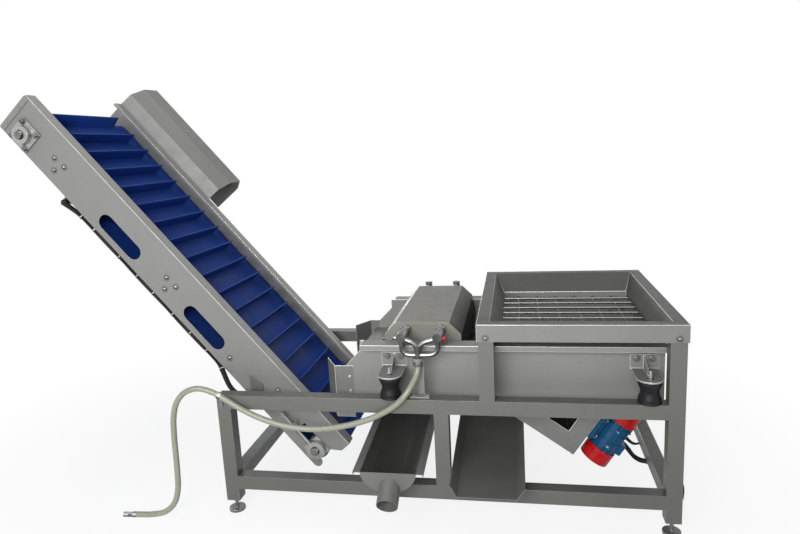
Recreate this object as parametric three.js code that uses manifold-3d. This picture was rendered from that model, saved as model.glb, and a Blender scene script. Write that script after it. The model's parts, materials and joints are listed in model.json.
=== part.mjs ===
import * as THREE from 'three';
import { mergeVertices } from 'three/addons/utils/BufferGeometryUtils.js';
import Module from 'manifold-3d';

const wasm = await Module();
wasm.setup();

// Working axes: X runs along the machine from the elevator to the hopper, Y runs
// away from the operator, Z is up from the floor. Millimetres throughout.
// X zero is the outer face of the left legs and Y zero the front face of the frame.

// Driving dimensions of the frame
const tube = 60;
const frameLength = 1900;
const frameDepth = 1020;
const topRailTop = 550;
const lowRailTop = 175;
const legBottom = 58;
const postTop = 840;
const joinOverlap = 20;
const lowerPostX = 940;
const upperPostX = 1127;
const elevatorBracket = { left: 92, right: 150, bottom: 491, plate: 6, leftTop: 590, rightTop: 545 };
const middleY = frameDepth / 2;

// Levelling feet
const foot = {
  discRadius: 36, discHeight: 12, stemRadius: 8, stemSides: 8, nutRadius: 14, nutFrom: 44,
  nutTo: 54,
};

// Feed hopper
const hopperOverhang = 6;
const hopper = {
  left: upperPostX - hopperOverhang, right: frameLength + hopperOverhang, front: -hopperOverhang,
  plate: 6, rimTop: 868, apronBottom: 799, rimWidthX: 51, rimWidthY: 52, throatInLeft: 94,
  throatInRight: 89, throatFront: 170, throatTop: 796, throatBottom: 766, sheet: 4,
  screwIn: 36, screwUp: 14, screwRadius: 6, screwHeight: 4,
};
const throatLeft = hopper.left + hopper.throatInLeft;
const throatRight = hopper.right - hopper.throatInRight;
const grid = { rodRadius: 5, level: 776, pitch: 91 };

// Vibrating tray and its perforated deck
const trayEndIn = 45;
const tray = {
  left: 545, right: frameLength - trayEndIn, wallY: 148, lipY: 75, top: 755, bottom: 480, sheet: 3,
  flangeLeft: 630, lipHeight: 22, chamferTopX: 613, chamferTopZ: 712, chamferLowZ: 642,
  ledgeWidth: 20, ledgeTop: 597, ledgeThickness: 5, outletY: 300, waterOutletIn: 60,
  stoneOutletIn: 6, stoneOutletLength: 70,
};
const deck = {
  overhang: 23, thickness: 3, columns: 10, rows: 5, slotLength: 80, slotWidth: 26,
  firstIn: 95, lastIn: 75, sideIn: 67, gap: 0.3,
};

// V-shaped motor base and the two vibration motors
const motorBase = {
  tipX: 1514, tipZ: 232, leftAngle: 34.5, rightAngle: 57, bandLeft: 86, bandRight: 76,
  plateY: 218, plateThickness: 8, slab: 9, apexRise: 15, tipFlat: 18, tipShares: [0.3, 0.75],
  tipDrop: 6,
};
const motor = {
  y: 310, axisOffset: 106, lowEnd: -2, capLength: 65, bodyLength: 140, bodyRadius: 60,
  footBoltIn: 19, footBoltBack: 12, footBoltOut: 34, footBoltRadius: 10, lugRadius: 8,
  lugLength: 26, capRadius: 65, shell: 7, capShell: 3, feetIn: 23, feetBack: 1, feetWidth: 150,
  feetHeight: 24, shield: 10, shaftRadius: 12, coreRadius: 44, weightRadius: 50,
  weightLength: 26, boxIn: 9, boxLength: 50, boxWidth: 60, boxHeight: 16, boxSunk: 12,
  ribCount: 4, ribSides: 18, ribEndGap: 10, ribWidth: 4, ribHeight: 3, boltIn: 9, weightIn: 14,
  shaftIn: 8, coreIn: 16, gap: 0.3,
};

// Rubber springs and the brackets that hold the tray on them
const springEndIn = 125;
const spring = {
  leftX: 762, rightX: frameLength - springEndIn, y: tube / 2, top: 641, radius: 45, waist: 35,
  plate: 5, sides: 20, neck: 2, lowBulge: 14, lowTaper: 24, taper: 5, waistFrom: 42, waistTo: 50,
  highTaper: 20, highBulge: 10,
};
const bracket = {
  halfWidth: 55, shelf: 6, legTop: 706, leg: 6, gusset: 6, gussetReach: 92, boltX: 29,
  boltZ: 688, boltRadius: 9, boltHeight: 8, noseRadius: 50, noseSides: 10, noseIn: 4,
  gussetDrop: 6, gussetTip: 4,
};

// Spray hood, curtain and the pipework that feeds it
const hoodFront = 156;
const hood = {
  front: hoodFront, back: frameDepth - hoodFront, sheet: 3, bottom: 745, shoulder: 781,
  top: 830, left: 724, right: 1049, topLeft: 770, topRight: 998,
};
const curtain = {
  thickness: 4, sideIn: 10, below: 2, drop: 163, bulge: 29, slits: 6, slitWidth: 3, slitDrop: 37,
  hangShares: [[0, 0], [0, 0.13], [0.59, 0.29], [0.97, 0.485], [1, 0.72], [0.79, 1]],
};
const sprayBar = {
  leftX: 815, rightX: 963, z: 803, radius: 13.5, front: 100, backOut: 36, sides: 16,
  frontNutRadius: 24, frontNutWidth: 26, backNutRadius: 31, backNutWidth: 24,
  nozzles: 7, nozzleTop: 9, nozzleTip: 5, nozzleDrop: 30, gap: 0.3,
};
const manifold = {
  x: 880, y: 42, radius: 14, branchRadius: 10, bottom: 700, top: 766, bodyRadius: 20,
  bodyFront: 26, sides: 10, stepLength: 13, valveDrop: 4,
  upperFrom: 752, lowerFrom: 727,
  upperBendShares: [[0, 0], [0.15, 0.34], [0.38, 0.64], [0.64, 0.77], [1, 1]],
  lowerBendShares: [[0, 0], [0.47, 0], [0.8, 0.07], [0.99, 0.3], [1, 0.57], [1, 1]],
};
const handle = {
  hubRadius: 7, hubLength: 15, wingLength: 50, wingWidth: 13, wingThickness: 4, gap: 0.3,
};
const stay = {
  behindRiser: 17.6, besideRiser: 6, width: 25, thickness: 5, foot: 76, footDepth: 46,
  footHeight: 5, ringFrom: 703, ringTo: 714, ringWall: 5, top: 744, boltRadius: 8,
  boltHeight: 6, boltIn: 10, boltY: 34, gap: 0.5,
};
// The rear stay reaches forward over the tray's lip and is bolted to the hood's back
const rearStay = {
  fromLegs: 56, width: 60, shelf: 772, earTop: 799, earGap: 0.3, earBoltX: 17, earBoltZ: 788,
  boltY: 26,
};

// Feed hose with its clamp, the clip at the frame corner and the coupling at its end
const hose = { radius: 12.5, sides: 10, stepLength: 29 };
const hoseStops = [
  [880, 42, 699.2], [880, 42, 682], [877, 37, 660], [868, 22, 634], [853, 2, 608],
  [832, -14, 578], [800, -20, 544], [752, -21, 509], [686, -21, 475], [604, -21, 447],
  [520, -21, 429], [436, -21, 420], [350, -21, 424], [268, -20, 440], [186, -19, 467],
  [110, -17, 504], [48, -16, 541], [-10, -17, 573], [-70, -22, 589], [-126, -30, 574],
  [-166, -38, 530], [-184, -44, 468], [-190, -48, 390], [-192, -50, 300], [-194, -52, 210],
  [-200, -55, 130], [-222, -60, 66], [-268, -66, 26], [-330, -72, 13.5], [-400, -78, 12.8],
];
const clamp = { from: 681, to: 693, inner: 14.2, outer: 16.8, lugFrom: -22, lugTo: -15, lugHalf: 10 };
const clip = {
  middle: [22, -15.9, 556.4], lead: [-58, -1, 32], half: 8, inner: 13.1, outer: 15.6, tab: 4,
  tabFrom: 500, tabTo: 556,
};
const coupling = {
  gap: 0.4, sleeveTo: 16, sleeveRadius: 12.6, nutFrom: 14, nutTo: 36, nutRadius: 12.7,
  spigotFrom: 34, spigotTo: 60, spigotRadius: 11, boreFrom: 20, boreRadius: 8,
  lead: [-70, -6],
};

// Drain trough with its outlet pipe, and the discharge chute
const channelBackIn = 10;
const trough = {
  left: 612, right: 902, lip: 30, lipDrop: 12, lipZ: 278, depth: 89, front: -100,
  back: frameDepth - channelBackIn, slope: 0.08, sheet: 3, arcSteps: 14, saddleLeft: 700,
  saddleRight: 815, saddleLift: 22, saddleIn: 5,
};
const outlet = {
  x: 762, z: 205, radius: 44, wall: 3, reach: 72, angle: 30, sides: 24, sunk: 60, boreFrom: 20,
};
const chute = {
  floorLeft: 1030, floorRight: 1271, flareLeft: 26, flareRight: 31, floorZ: 185, wallHeight: 48,
  front: -100, back: frameDepth - channelBackIn, slope: 0.1, sheet: 3, saddleLift: 12,
  saddleIn: 5, saddleSideIn: 40,
};

// Infeed guards at the tray mouth
const guard = {
  strapEnd: 575, outerX: 495, innerX: 435, innerY: 250, sheet: 3, top: 640, bottom: 405,
  boltRadius: 5, boltHeight: 4, boltUp: 120, boltDown: 50, boltIn: 14,
};

// Inclined elevator. Lengths along it use s, downhill, and h, square to the belt and
// counted from the line through both drum axes. That line passes axisH above the origin.
const slopeAngle = 49.55;
const axisH = 447;
const conveyor = {
  nearY: 156, plate: 3, flange: 60, lipDepth: 12, lowFlange: 30, headEnd: -1960, tailEnd: 140,
  low: -66, high: 133, headS: -1848, tailS: 62,
};
const farFace = frameDepth - conveyor.nearY;
const slots = { low: -39, high: 31, rangeShares: [[0.286, 0.405], [0.55, 0.667]], sides: 8 };
const fork = { from: -62, low: -22, high: 40, prongEnd: 134, upperEnd: 142, chamfer: 42 };
const plateBolt = {
  radius: 7, height: 5,
  placeShares: [
    [0.132, 0.46], [0.148, 0.25], [0.16, 0.48], [0.477, 0.48], [0.491, 0.25], [0.505, 0.49],
    [0.693, 0.27], [0.814, 0.6],
  ],
};
const belt = {
  edgeGap: 9, outer: 55, thickness: 5, cleatY: 262, cleatHeight: 58, cleatThickness: 7,
  cleats: 38, arcSteps: 12, firstCleat: -1751, sunk: 2,
};
const drumRadius = 49.2;
const shaftRadius = 17.5;
const shaftKey = { width: 10, height: 2, from: 6, to: 40 };
const runningFit = 0.5;
const bed = {
  from: -1785, to: -60, thickness: 3, edgeGap: 14,
  tieShares: [0.17, 0.257, 0.486, 0.733, 0.867], tieRadius: 18, tieSides: 12, webThickness: 6,
  webIn: 60, gap: 0.3,
};
const headBearing = {
  half: 56, plate: 12, hubRadius: 40, hubFlare: 4, hubOut: 38, boltRadius: 8, boltHeight: 7,
  boltInset: 14, shaftOut: 12,
};
const takeUp = {
  hubRadius: 47, hubTaper: 5, hubOut: 30, slideHalf: 37, screwRadius: 7, screwOut: 18,
  screwEnd: -165, screwTo: 32, bracketFrom: -96, bracketTo: -82, bracketHigh: 27,
  bracketOut: 34, plateHalf: 44, plate: 6, gap: 0.3, nutRadius: 12, nutWidth: 10, nutIn: 8,
};
const endStrap = {
  width: 26, thickness: 5, low: -61, high: 127, boltRadius: 6, boltHeight: 4,
  boltShares: [0.22, 0.7],
};
// The cover's outline runs from its seat on the far side plate, in shares of its reach
// out from the plate and of its rise above the seat
const cover = {
  from: conveyor.headEnd, to: -1259, sheet: 3, seat: 93, reach: 300, rise: 163,
  outlineShares: [
    [0, 0], [0, 0.28], [0.04, 0.69], [0.32, 0.97], [0.72, 1], [1, 0.55], [0.91, -0.45],
  ],
};
const gearmotor = {
  boxFrom: -1912, boxTo: -1784, boxOut: 40, boxDepth: 84, boxLow: -61, boxHigh: 163,
  motorOut: 148, motorH: 105, motorRadius: 72, motorEnd: -1478, fanRadius: 66, fanLength: 46,
  adapterBefore: 40, adapterAfter: 14, adapterHigh: 10, armFrom: -1776, armTo: -1716,
  armThickness: 10, armLow: 20, armHigh: 60, lugLow: 30, lugHigh: 54, boxS: -1640,
  boxHalf: 34, boxReach: 18, sides: 20,
};
const conduit = {
  s: -1560, h: -135, radius: 17, wall: 2, end: 250, inside: 25, plate: 5, halfWidth: 21, tab: 3,
  tabFrom: 160, gap: 0.3, boltRadius: 6, boltHeight: 5, sides: 12,
};

// Black cable bundle
const cable = {
  radius: 12, branchThinner: 1, sides: 6, stepLength: 41, branchStepLength: 36, gap: 0.8,
  underEdge: 1, besideEdge: 2, railDrop: 32, railStops: [0.16, 0.37, 0.58, 0.79, 0.926],
  crossStops: [0.2, 0.33], edgeStops: [-1380, -1240, -1080, -960, -800, -640, -520],
  branchStops: [0.33, 0.47, 0.53],
};
// From the gearmotor down the far plate: s, distance out from the plate, h
const cableDescent = [
  [-1640, 43, 99], [-1632, 29, 85], [-1612, 22, 57], [-1584, 20, 10], [-1565, 19, -30],
  [-1560, 16, -62], [-1560, 4, -106], [-1560, -22, -128], [-1560, -56, -135],
];
// Out of the conduit and forward to the near plate's lower edge: s, y, h
const cableEmerging = [
  [-1558, 226, -134], [-1550, 206, -127], [-1528, 187, -111], [-1488, 173, -93],
  [-1440, 169, -82],
];
// From the elevator's lower edge across to the back of the front top rail
const cableBridge = [[-30, 146, 603], [-8, 124, 578], [22, 98, 550], [64, 78, 528], [120, 74, 520]];
// Over the corner, down the right leg and around the end of the lower rail, as
// distances back from the far side of the legs, out from the rail's face, and up
const cableCorner = [
  [74, 1, 508], [40, 2, 474], [30, 2, 420], [30, 2, 320], [20, 3, 250], [-4, 7, 204],
  [-16, 11, 168], [-16, 17, 128], [-9, 35, 98], [12, 73, 100],
];
// Toward a motor: share of the way over, share of the rise, distance beside the entry
const cableTail = [
  [0.115, 0, 79], [0.295, 0.01, 88], [0.487, 0.18, 84], [0.679, 0.55, 69],
  [0.833, 0.84, 51], [0.936, 0.95, 39], [1, 1, 17], [1, 1, 1],
];

const weldStep = 0.001;
// Depth that welded or bolted-on details are sunk into what carries them
const bite = 1;
const hexSides = 6;
const fineSides = 20;
const arcSides = 12;

const slope = THREE.MathUtils.degToRad(slopeAngle);
const downhill = new THREE.Vector3(Math.cos(slope), 0, -Math.sin(slope));
const outward = new THREE.Vector3(Math.sin(slope), 0, Math.cos(slope));
const unitX = new THREE.Vector3(1, 0, 0);
const unitY = new THREE.Vector3(0, 1, 0);
const unitZ = new THREE.Vector3(0, 0, 1);
const towardFront = new THREE.Vector3(0, -1, 0);

const sideView = new THREE.Matrix4().makeBasis(unitX, unitZ, towardFront);
const endView = new THREE.Matrix4().makeBasis(unitY, unitZ, unitX);
const planView = new THREE.Matrix4();
const axisLine = outward.clone().multiplyScalar(axisH);
const beltView = new THREE.Matrix4().makeBasis(downhill, outward, towardFront)
  .setPosition(axisLine);
const beltEndView = new THREE.Matrix4().makeBasis(unitY, outward, downhill)
  .setPosition(axisLine);

const material = (name, color, metalness, roughness) => {
  const made = new THREE.MeshStandardMaterial({ color, metalness, roughness });
  made.name = name;
  return made;
};
const steel = material('bead blasted stainless', 0x9a9a96, 0.8, 0.5);
const frameSteel = material('frame stainless', 0x7f807b, 0.8, 0.5);
const hoodSteel = material('brushed stainless', 0x8c897f, 0.8, 0.4);
const brightSteel = material('polished stainless', 0xb5b8b8, 0.9, 0.25);
const castGrey = material('cast housing', 0xa9aba8, 0.5, 0.45);
const blueBelt = material('blue belt', 0x1f3a7a, 0, 0.55);
const blueEnamel = material('blue enamel', 0x1f5f9f, 0.1, 0.4);
const redEnamel = material('red enamel', 0xd2232a, 0.1, 0.35);
const blackRubber = material('black rubber', 0x1c1c1c, 0, 0.8);
const hoseRubber = material('pale braided hose', 0xc4c4b0, 0, 0.5);

// Solids
function volumeOf(geometry) {
  const position = geometry.attributes.position;
  const index = geometry.index;
  const a = new THREE.Vector3();
  const b = new THREE.Vector3();
  const c = new THREE.Vector3();
  let sum = 0;
  for (let i = 0; i < index.count; i += 3) {
    a.fromBufferAttribute(position, index.getX(i));
    b.fromBufferAttribute(position, index.getX(i + 1));
    c.fromBufferAttribute(position, index.getX(i + 2));
    sum += a.dot(b.cross(c));
  }
  return sum;
}

function toSolid(geometry) {
  const loose = geometry.index ? geometry.toNonIndexed() : geometry.clone();
  for (const name of Object.keys(loose.attributes)) {
    if (name !== 'position') loose.deleteAttribute(name);
  }
  const joined = mergeVertices(loose, weldStep);
  const inward = volumeOf(joined) < 0;
  const corners = [];
  for (let i = 0; i < joined.index.count; i += 3) {
    const a = joined.index.getX(i);
    const b = joined.index.getX(i + 1);
    const c = joined.index.getX(i + 2);
    if (a === b || b === c || c === a) continue;
    corners.push(a, inward ? c : b, inward ? b : c);
  }
  const vertProperties = Float32Array.from(joined.attributes.position.array);
  const triVerts = Uint32Array.from(corners);
  return new wasm.Manifold(new wasm.Mesh({ numProp: 3, vertProperties, triVerts }));
}

function joinAll(geometries) {
  return geometries.map(toSolid).reduce((whole, next) => whole.add(next));
}

function toGeometry(solid) {
  const mesh = solid.getMesh();
  const geometry = new THREE.BufferGeometry();
  geometry.setAttribute('position', new THREE.BufferAttribute(mesh.vertProperties, 3));
  geometry.setIndex(new THREE.BufferAttribute(mesh.triVerts, 1));
  const flat = geometry.toNonIndexed();
  flat.computeVertexNormals();
  return flat;
}

const machine = new THREE.Group();
machine.name = 'date_washing_machine';

function piece(name, finish, added, removed = []) {
  let solid = joinAll(added);
  if (removed.length) solid = solid.subtract(joinAll(removed));
  const mesh = new THREE.Mesh(toGeometry(solid), finish);
  mesh.name = name;
  machine.add(mesh);
  return mesh;
}

// Shapes
function box(x0, x1, y0, y1, z0, z1) {
  const geometry = new THREE.BoxGeometry(x1 - x0, y1 - y0, z1 - z0);
  return geometry.translate((x0 + x1) / 2, (y0 + y1) / 2, (z0 + z1) / 2);
}

function outlineShape(points, holes = []) {
  const shape = new THREE.Shape(points.map(([a, b]) => new THREE.Vector2(a, b)));
  for (const hole of holes) {
    shape.holes.push(new THREE.Path(hole.map(([a, b]) => new THREE.Vector2(a, b))));
  }
  return shape;
}

function extrude(view, points, from, to, holes = []) {
  const settings = { depth: to - from, bevelEnabled: false, steps: 1 };
  const geometry = new THREE.ExtrudeGeometry(outlineShape(points, holes), settings);
  return geometry.translate(0, 0, from).applyMatrix4(view);
}

// Plates standing across the machine's depth, given by their nearer and farther Y
const sidePlate = (points, y0, y1, holes) => extrude(sideView, points, -y1, -y0, holes);
const beltPlate = (points, y0, y1, holes) => extrude(beltView, points, -y1, -y0, holes);
const beltBox = (s0, s1, y0, y1, h0, h1) =>
  beltPlate([[s0, h0], [s1, h0], [s1, h1], [s0, h1]], y0, y1);

function rod(from, to, radius, sides = arcSides, radiusEnd = radius) {
  const line = new THREE.Vector3().subVectors(to, from);
  const geometry = new THREE.CylinderGeometry(radiusEnd, radius, line.length(), sides, 1);
  const turn = new THREE.Quaternion().setFromUnitVectors(unitY, line.clone().normalize());
  const centre = from.clone().add(to).divideScalar(2);
  return geometry.applyQuaternion(turn).translate(centre.x, centre.y, centre.z);
}

const at = (x, y, z) => new THREE.Vector3(x, y, z);
const onBelt = (s, y, h) =>
  axisLine.clone().addScaledVector(downhill, s).addScaledVector(outward, h).setY(y);

function circle(radius, sides, centreA = 0, centreB = 0) {
  const points = [];
  for (let i = 0; i < sides; i += 1) {
    const angle = (i / sides) * Math.PI * 2;
    points.push([centreA + radius * Math.cos(angle), centreB + radius * Math.sin(angle)]);
  }
  return points;
}

function sweep(points, radius, sides, stepLength) {
  const path = new THREE.CatmullRomCurve3(points, false, 'centripetal');
  const steps = Math.round(path.getLength() / stepLength);
  const settings = { steps, bevelEnabled: false, extrudePath: path };
  return new THREE.ExtrudeGeometry(outlineShape(circle(radius, sides)), settings);
}

// Raises every point in proportion to its depth, for parts that drain forward
function lean(geometry, grade, zeroY) {
  const position = geometry.attributes.position;
  for (let i = 0; i < position.count; i += 1) {
    position.setZ(i, position.getZ(i) + grade * (position.getY(i) - zeroY));
  }
  return geometry;
}

// A closed sheet-metal collar running through a list of level rectangles
function rectangularCollar(rings) {
  const positions = [];
  for (const [x0, x1, y0, y1, z] of rings) {
    positions.push(x0, y0, z, x1, y0, z, x1, y1, z, x0, y1, z);
  }
  const index = [];
  const corners = 4;
  for (let i = 0; i < rings.length; i += 1) {
    const next = (i + 1) % rings.length;
    for (let j = 0; j < corners; j += 1) {
      const turn = (j + 1) % corners;
      const a = i * corners + j;
      const b = i * corners + turn;
      const c = next * corners + turn;
      const d = next * corners + j;
      index.push(a, b, c, a, c, d);
    }
  }
  const geometry = new THREE.BufferGeometry();
  geometry.setAttribute('position', new THREE.Float32BufferAttribute(positions, 3));
  geometry.setIndex(index);
  return geometry;
}

function lathe(profile, x, y, sides) {
  const points = profile.map(([radius, height]) => new THREE.Vector2(radius, height));
  const geometry = new THREE.LatheGeometry(points, sides);
  return geometry.rotateX(Math.PI / 2).translate(x, y, 0);
}

// Offsets an open line of points sideways and closes it into a strip outline
function strip(points, thickness) {
  const shifted = [];
  for (let i = 0; i < points.length; i += 1) {
    const before = points[Math.max(i - 1, 0)];
    const after = points[Math.min(i + 1, points.length - 1)];
    const along = new THREE.Vector2(after[0] - before[0], after[1] - before[1]).normalize();
    shifted.push([points[i][0] - along.y * thickness, points[i][1] + along.x * thickness]);
  }
  return points.concat(shifted.reverse());
}

const mirrorY = (geometry) => {
  const copy = geometry.clone();
  return copy.scale(1, -1, 1).translate(0, frameDepth, 0);
};

// Frame: the same welded side front and back, tied by cross rails. Each side also
// carries the bracket that the elevator's side plate is bolted to
const elevatorBracketSide = [
  [elevatorBracket.left, elevatorBracket.bottom], [elevatorBracket.right, elevatorBracket.bottom],
  [elevatorBracket.right, elevatorBracket.rightTop], [elevatorBracket.left, elevatorBracket.leftTop],
];
function sideFrame() {
  return [
    box(0, tube, 0, tube, legBottom, topRailTop),
    box(frameLength - tube, frameLength, 0, tube, legBottom, postTop),
    box(joinOverlap, frameLength - joinOverlap, 0, tube, topRailTop - tube, topRailTop),
    box(joinOverlap, frameLength - joinOverlap, 0, tube, lowRailTop - tube, lowRailTop),
    box(lowerPostX, lowerPostX + tube, 0, tube, lowRailTop - joinOverlap, topRailTop - joinOverlap),
    box(upperPostX, upperPostX + tube, 0, tube, topRailTop - joinOverlap, postTop),
    box(elevatorBracket.left, elevatorBracket.right, tube - bite, conveyor.nearY,
      elevatorBracket.bottom, elevatorBracket.bottom + elevatorBracket.plate),
    sidePlate(elevatorBracketSide, conveyor.nearY - elevatorBracket.plate, conveyor.nearY),
  ];
}
piece('front_side_frame', frameSteel, sideFrame());
piece('rear_side_frame', frameSteel, sideFrame().map(mirrorY));
piece('left_lower_cross_rail', frameSteel,
  [box(0, tube, tube, frameDepth - tube, lowRailTop - tube, lowRailTop)]);
piece('right_lower_cross_rail', frameSteel,
  [box(frameLength - tube, frameLength, tube, frameDepth - tube, lowRailTop - tube, lowRailTop)]);

function levellingFoot(name, x, y) {
  piece(name, brightSteel, [
    rod(at(x, y, 0), at(x, y, foot.discHeight), foot.discRadius, fineSides),
    rod(at(x, y, foot.discHeight - bite), at(x, y, legBottom), foot.stemRadius, foot.stemSides),
    rod(at(x, y, foot.nutFrom), at(x, y, foot.nutTo), foot.nutRadius, hexSides),
  ]);
}
levellingFoot('foot_front_left', tube / 2, tube / 2);
levellingFoot('foot_front_right', frameLength - tube / 2, tube / 2);
levellingFoot('foot_rear_left', tube / 2, frameDepth - tube / 2);
levellingFoot('foot_rear_right', frameLength - tube / 2, frameDepth - tube / 2);

// Hopper: apron outside, rim on top, walls sloping in to a short throat
const hopperBack = frameDepth - hopper.front;
const throatBack = frameDepth - hopper.throatFront;
const inset = (rx, ry, z) =>
  [hopper.left + rx, hopper.right - rx, hopper.front + ry, hopperBack - ry, z];
const throatAt = (out, z) => [
  throatLeft - out, throatRight + out,
  hopper.throatFront - out, throatBack + out, z,
];
const screwZ = hopper.apronBottom + hopper.screwUp;
const apronScrew = (x) => rod(at(x, hopper.front - hopper.screwHeight, screwZ),
  at(x, hopper.front + bite, screwZ), hopper.screwRadius, hexSides);
piece('hopper', steel, [
  rectangularCollar([
    inset(0, 0, hopper.apronBottom),
    inset(0, 0, hopper.rimTop),
    inset(hopper.rimWidthX, hopper.rimWidthY, hopper.rimTop),
    throatAt(0, hopper.throatTop),
    throatAt(0, hopper.throatBottom),
    throatAt(hopper.sheet, hopper.throatBottom),
    throatAt(hopper.sheet, hopper.throatTop),
    inset(hopper.rimWidthX - bite, hopper.rimWidthY - bite, hopper.rimTop - hopper.sheet),
    inset(hopper.plate, hopper.plate, hopper.rimTop - hopper.sheet),
    inset(hopper.plate, hopper.plate, hopper.apronBottom),
  ]),
  apronScrew(hopper.left + hopper.screwIn),
  apronScrew(hopper.right - hopper.screwIn),
]);

// Rod screen lying in the hopper throat
const gridRods = [];
const gridMiddle = (throatLeft + throatRight) / 2;
const lengthwiseRods = Math.floor((throatBack - hopper.throatFront) / grid.pitch);
const crossRods = Math.floor((throatRight - throatLeft) / grid.pitch);
for (let i = 0; i < lengthwiseRods; i += 1) {
  const y = middleY + (i - (lengthwiseRods - 1) / 2) * grid.pitch;
  gridRods.push(rod(at(throatLeft, y, grid.level), at(throatRight, y, grid.level),
    grid.rodRadius, hexSides));
}
for (let i = 0; i < crossRods; i += 1) {
  const x = gridMiddle + (i - (crossRods - 1) / 2) * grid.pitch;
  const z = grid.level - grid.rodRadius;
  gridRods.push(rod(at(x, hopper.throatFront, z), at(x, throatBack, z), grid.rodRadius, hexSides));
}
piece('hopper_screen', brightSteel, gridRods);

// Tray: folded side walls, ledges for the deck, water pan with two outlets
const trayWallOutline = [
  [tray.left, tray.bottom], [tray.right, tray.bottom], [tray.right, tray.top],
  [tray.chamferTopX, tray.top], [tray.chamferTopX, tray.chamferTopZ],
  [tray.left, tray.chamferLowZ],
];
const trayInnerY = tray.wallY + tray.sheet;
const traySide = [
  sidePlate(trayWallOutline, tray.wallY, trayInnerY),
  box(tray.flangeLeft, tray.right, tray.lipY, trayInnerY, tray.top - tray.sheet, tray.top),
  box(tray.flangeLeft, tray.right, tray.lipY, tray.lipY + tray.sheet,
    tray.top - tray.lipHeight, tray.top),
  box(tray.left, tray.right - tray.sheet, tray.wallY, trayInnerY + tray.ledgeWidth,
    tray.ledgeTop - tray.ledgeThickness, tray.ledgeTop),
];
const trayBackY = frameDepth - tray.wallY;
const panOutlet = (x0, x1) => box(x0, x1, tray.outletY, frameDepth - tray.outletY,
  tray.bottom - bite, tray.bottom + tray.sheet + bite);
piece('tray', steel, [
  ...traySide,
  ...traySide.map(mirrorY),
  box(tray.left, tray.right, tray.wallY, trayBackY, tray.bottom, tray.bottom + tray.sheet),
  box(tray.right - tray.sheet, tray.right, tray.wallY, trayBackY, tray.bottom, tray.top),
  box(tray.left, tray.left + tray.sheet, tray.wallY, trayBackY, tray.bottom,
    tray.ledgeTop - tray.ledgeThickness),
], [
  panOutlet(trough.left + tray.waterOutletIn, trough.right - tray.waterOutletIn),
  panOutlet(chute.floorLeft + tray.stoneOutletIn,
    chute.floorLeft + tray.stoneOutletIn + tray.stoneOutletLength),
]);

// Perforated deck the dates travel on
const deckBack = frameDepth - trayInnerY - deck.gap;
const deckFirst = tray.left + deck.firstIn;
const deckSide = tray.wallY + deck.sideIn;
const deckSlots = [];
for (let i = 0; i < deck.columns; i += 1) {
  const x = deckFirst + (i / (deck.columns - 1)) * (tray.right - deck.lastIn - deckFirst);
  for (let j = 0; j < deck.rows; j += 1) {
    const y = deckSide + (j / (deck.rows - 1)) * (frameDepth - 2 * deckSide);
    deckSlots.push(box(x - deck.slotLength / 2, x + deck.slotLength / 2,
      y - deck.slotWidth / 2, y + deck.slotWidth / 2,
      tray.ledgeTop - bite, tray.ledgeTop + deck.thickness + bite));
  }
}
piece('tray_deck', brightSteel, [box(tray.left - deck.overhang,
  tray.right - tray.sheet - deck.gap, trayInnerY + deck.gap, deckBack, tray.ledgeTop,
  tray.ledgeTop + deck.thickness)], deckSlots);

// Motor base: two V-shaped side plates joined by a slab along each arm
const rightArm = THREE.MathUtils.degToRad(motorBase.rightAngle);
const leftArm = THREE.MathUtils.degToRad(motorBase.leftAngle);
const rise = tray.bottom - motorBase.tipZ;
const leftTipX = motorBase.tipX - motorBase.tipFlat;
const armRightX = (z) => motorBase.tipX + (z - motorBase.tipZ) / Math.tan(rightArm);
const armLeftX = (z) => leftTipX - (z - motorBase.tipZ) / Math.tan(leftArm);
const innerApexZ = motorBase.tipZ + motorBase.bandLeft + motorBase.apexRise;
const innerApexX = armRightX(innerApexZ) - motorBase.bandRight / Math.sin(rightArm);
const innerRight = innerApexX + (tray.bottom - innerApexZ) / Math.tan(rightArm);
const innerLeft = innerApexX - (tray.bottom - innerApexZ) / Math.tan(leftArm);
const vOutline = [
  [armLeftX(tray.bottom), tray.bottom], [leftTipX, motorBase.tipZ],
  ...motorBase.tipShares.map((share) => [leftTipX + motorBase.tipFlat * share,
    motorBase.tipZ - motorBase.tipDrop]),
  [motorBase.tipX, motorBase.tipZ], [armRightX(tray.bottom), tray.bottom],
  [innerRight, tray.bottom], [innerApexX, innerApexZ], [innerLeft, tray.bottom],
];
const vPlate = sidePlate(vOutline, motorBase.plateY, motorBase.plateY + motorBase.plateThickness);
const slabX = motorBase.slab / Math.sin(rightArm);
const slabXLeft = motorBase.slab / Math.sin(leftArm);
const vBack = frameDepth - motorBase.plateY;
piece('motor_base', steel, [
  vPlate,
  mirrorY(vPlate),
  sidePlate([
    [motorBase.tipX, motorBase.tipZ], [armRightX(tray.bottom), tray.bottom],
    [armRightX(tray.bottom) - slabX, tray.bottom], [motorBase.tipX - slabX, motorBase.tipZ],
  ], motorBase.plateY, vBack),
  sidePlate([
    [leftTipX, motorBase.tipZ], [leftTipX + slabXLeft, motorBase.tipZ],
    [armLeftX(tray.bottom) + slabXLeft, tray.bottom], [armLeftX(tray.bottom), tray.bottom],
  ], motorBase.plateY, vBack),
]);

// Vibration motors, mirrored about the middle of the machine
const armUp = at(Math.cos(rightArm), 0, Math.sin(rightArm));
const armOut = at(Math.sin(rightArm), 0, -Math.cos(rightArm));
const armPoint = (along, out, y) =>
  at(motorBase.tipX, y, motorBase.tipZ).addScaledVector(armUp, along).addScaledVector(armOut, out);
const armView = new THREE.Matrix4().makeBasis(armUp, armOut, unitY).setPosition(
  motorBase.tipX, 0, motorBase.tipZ);
const armBox = (a0, a1, y0, y1, o0, o1) =>
  extrude(armView, [[a0, o0], [a1, o0], [a1, o1], [a0, o1]], y0, y1);

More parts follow.
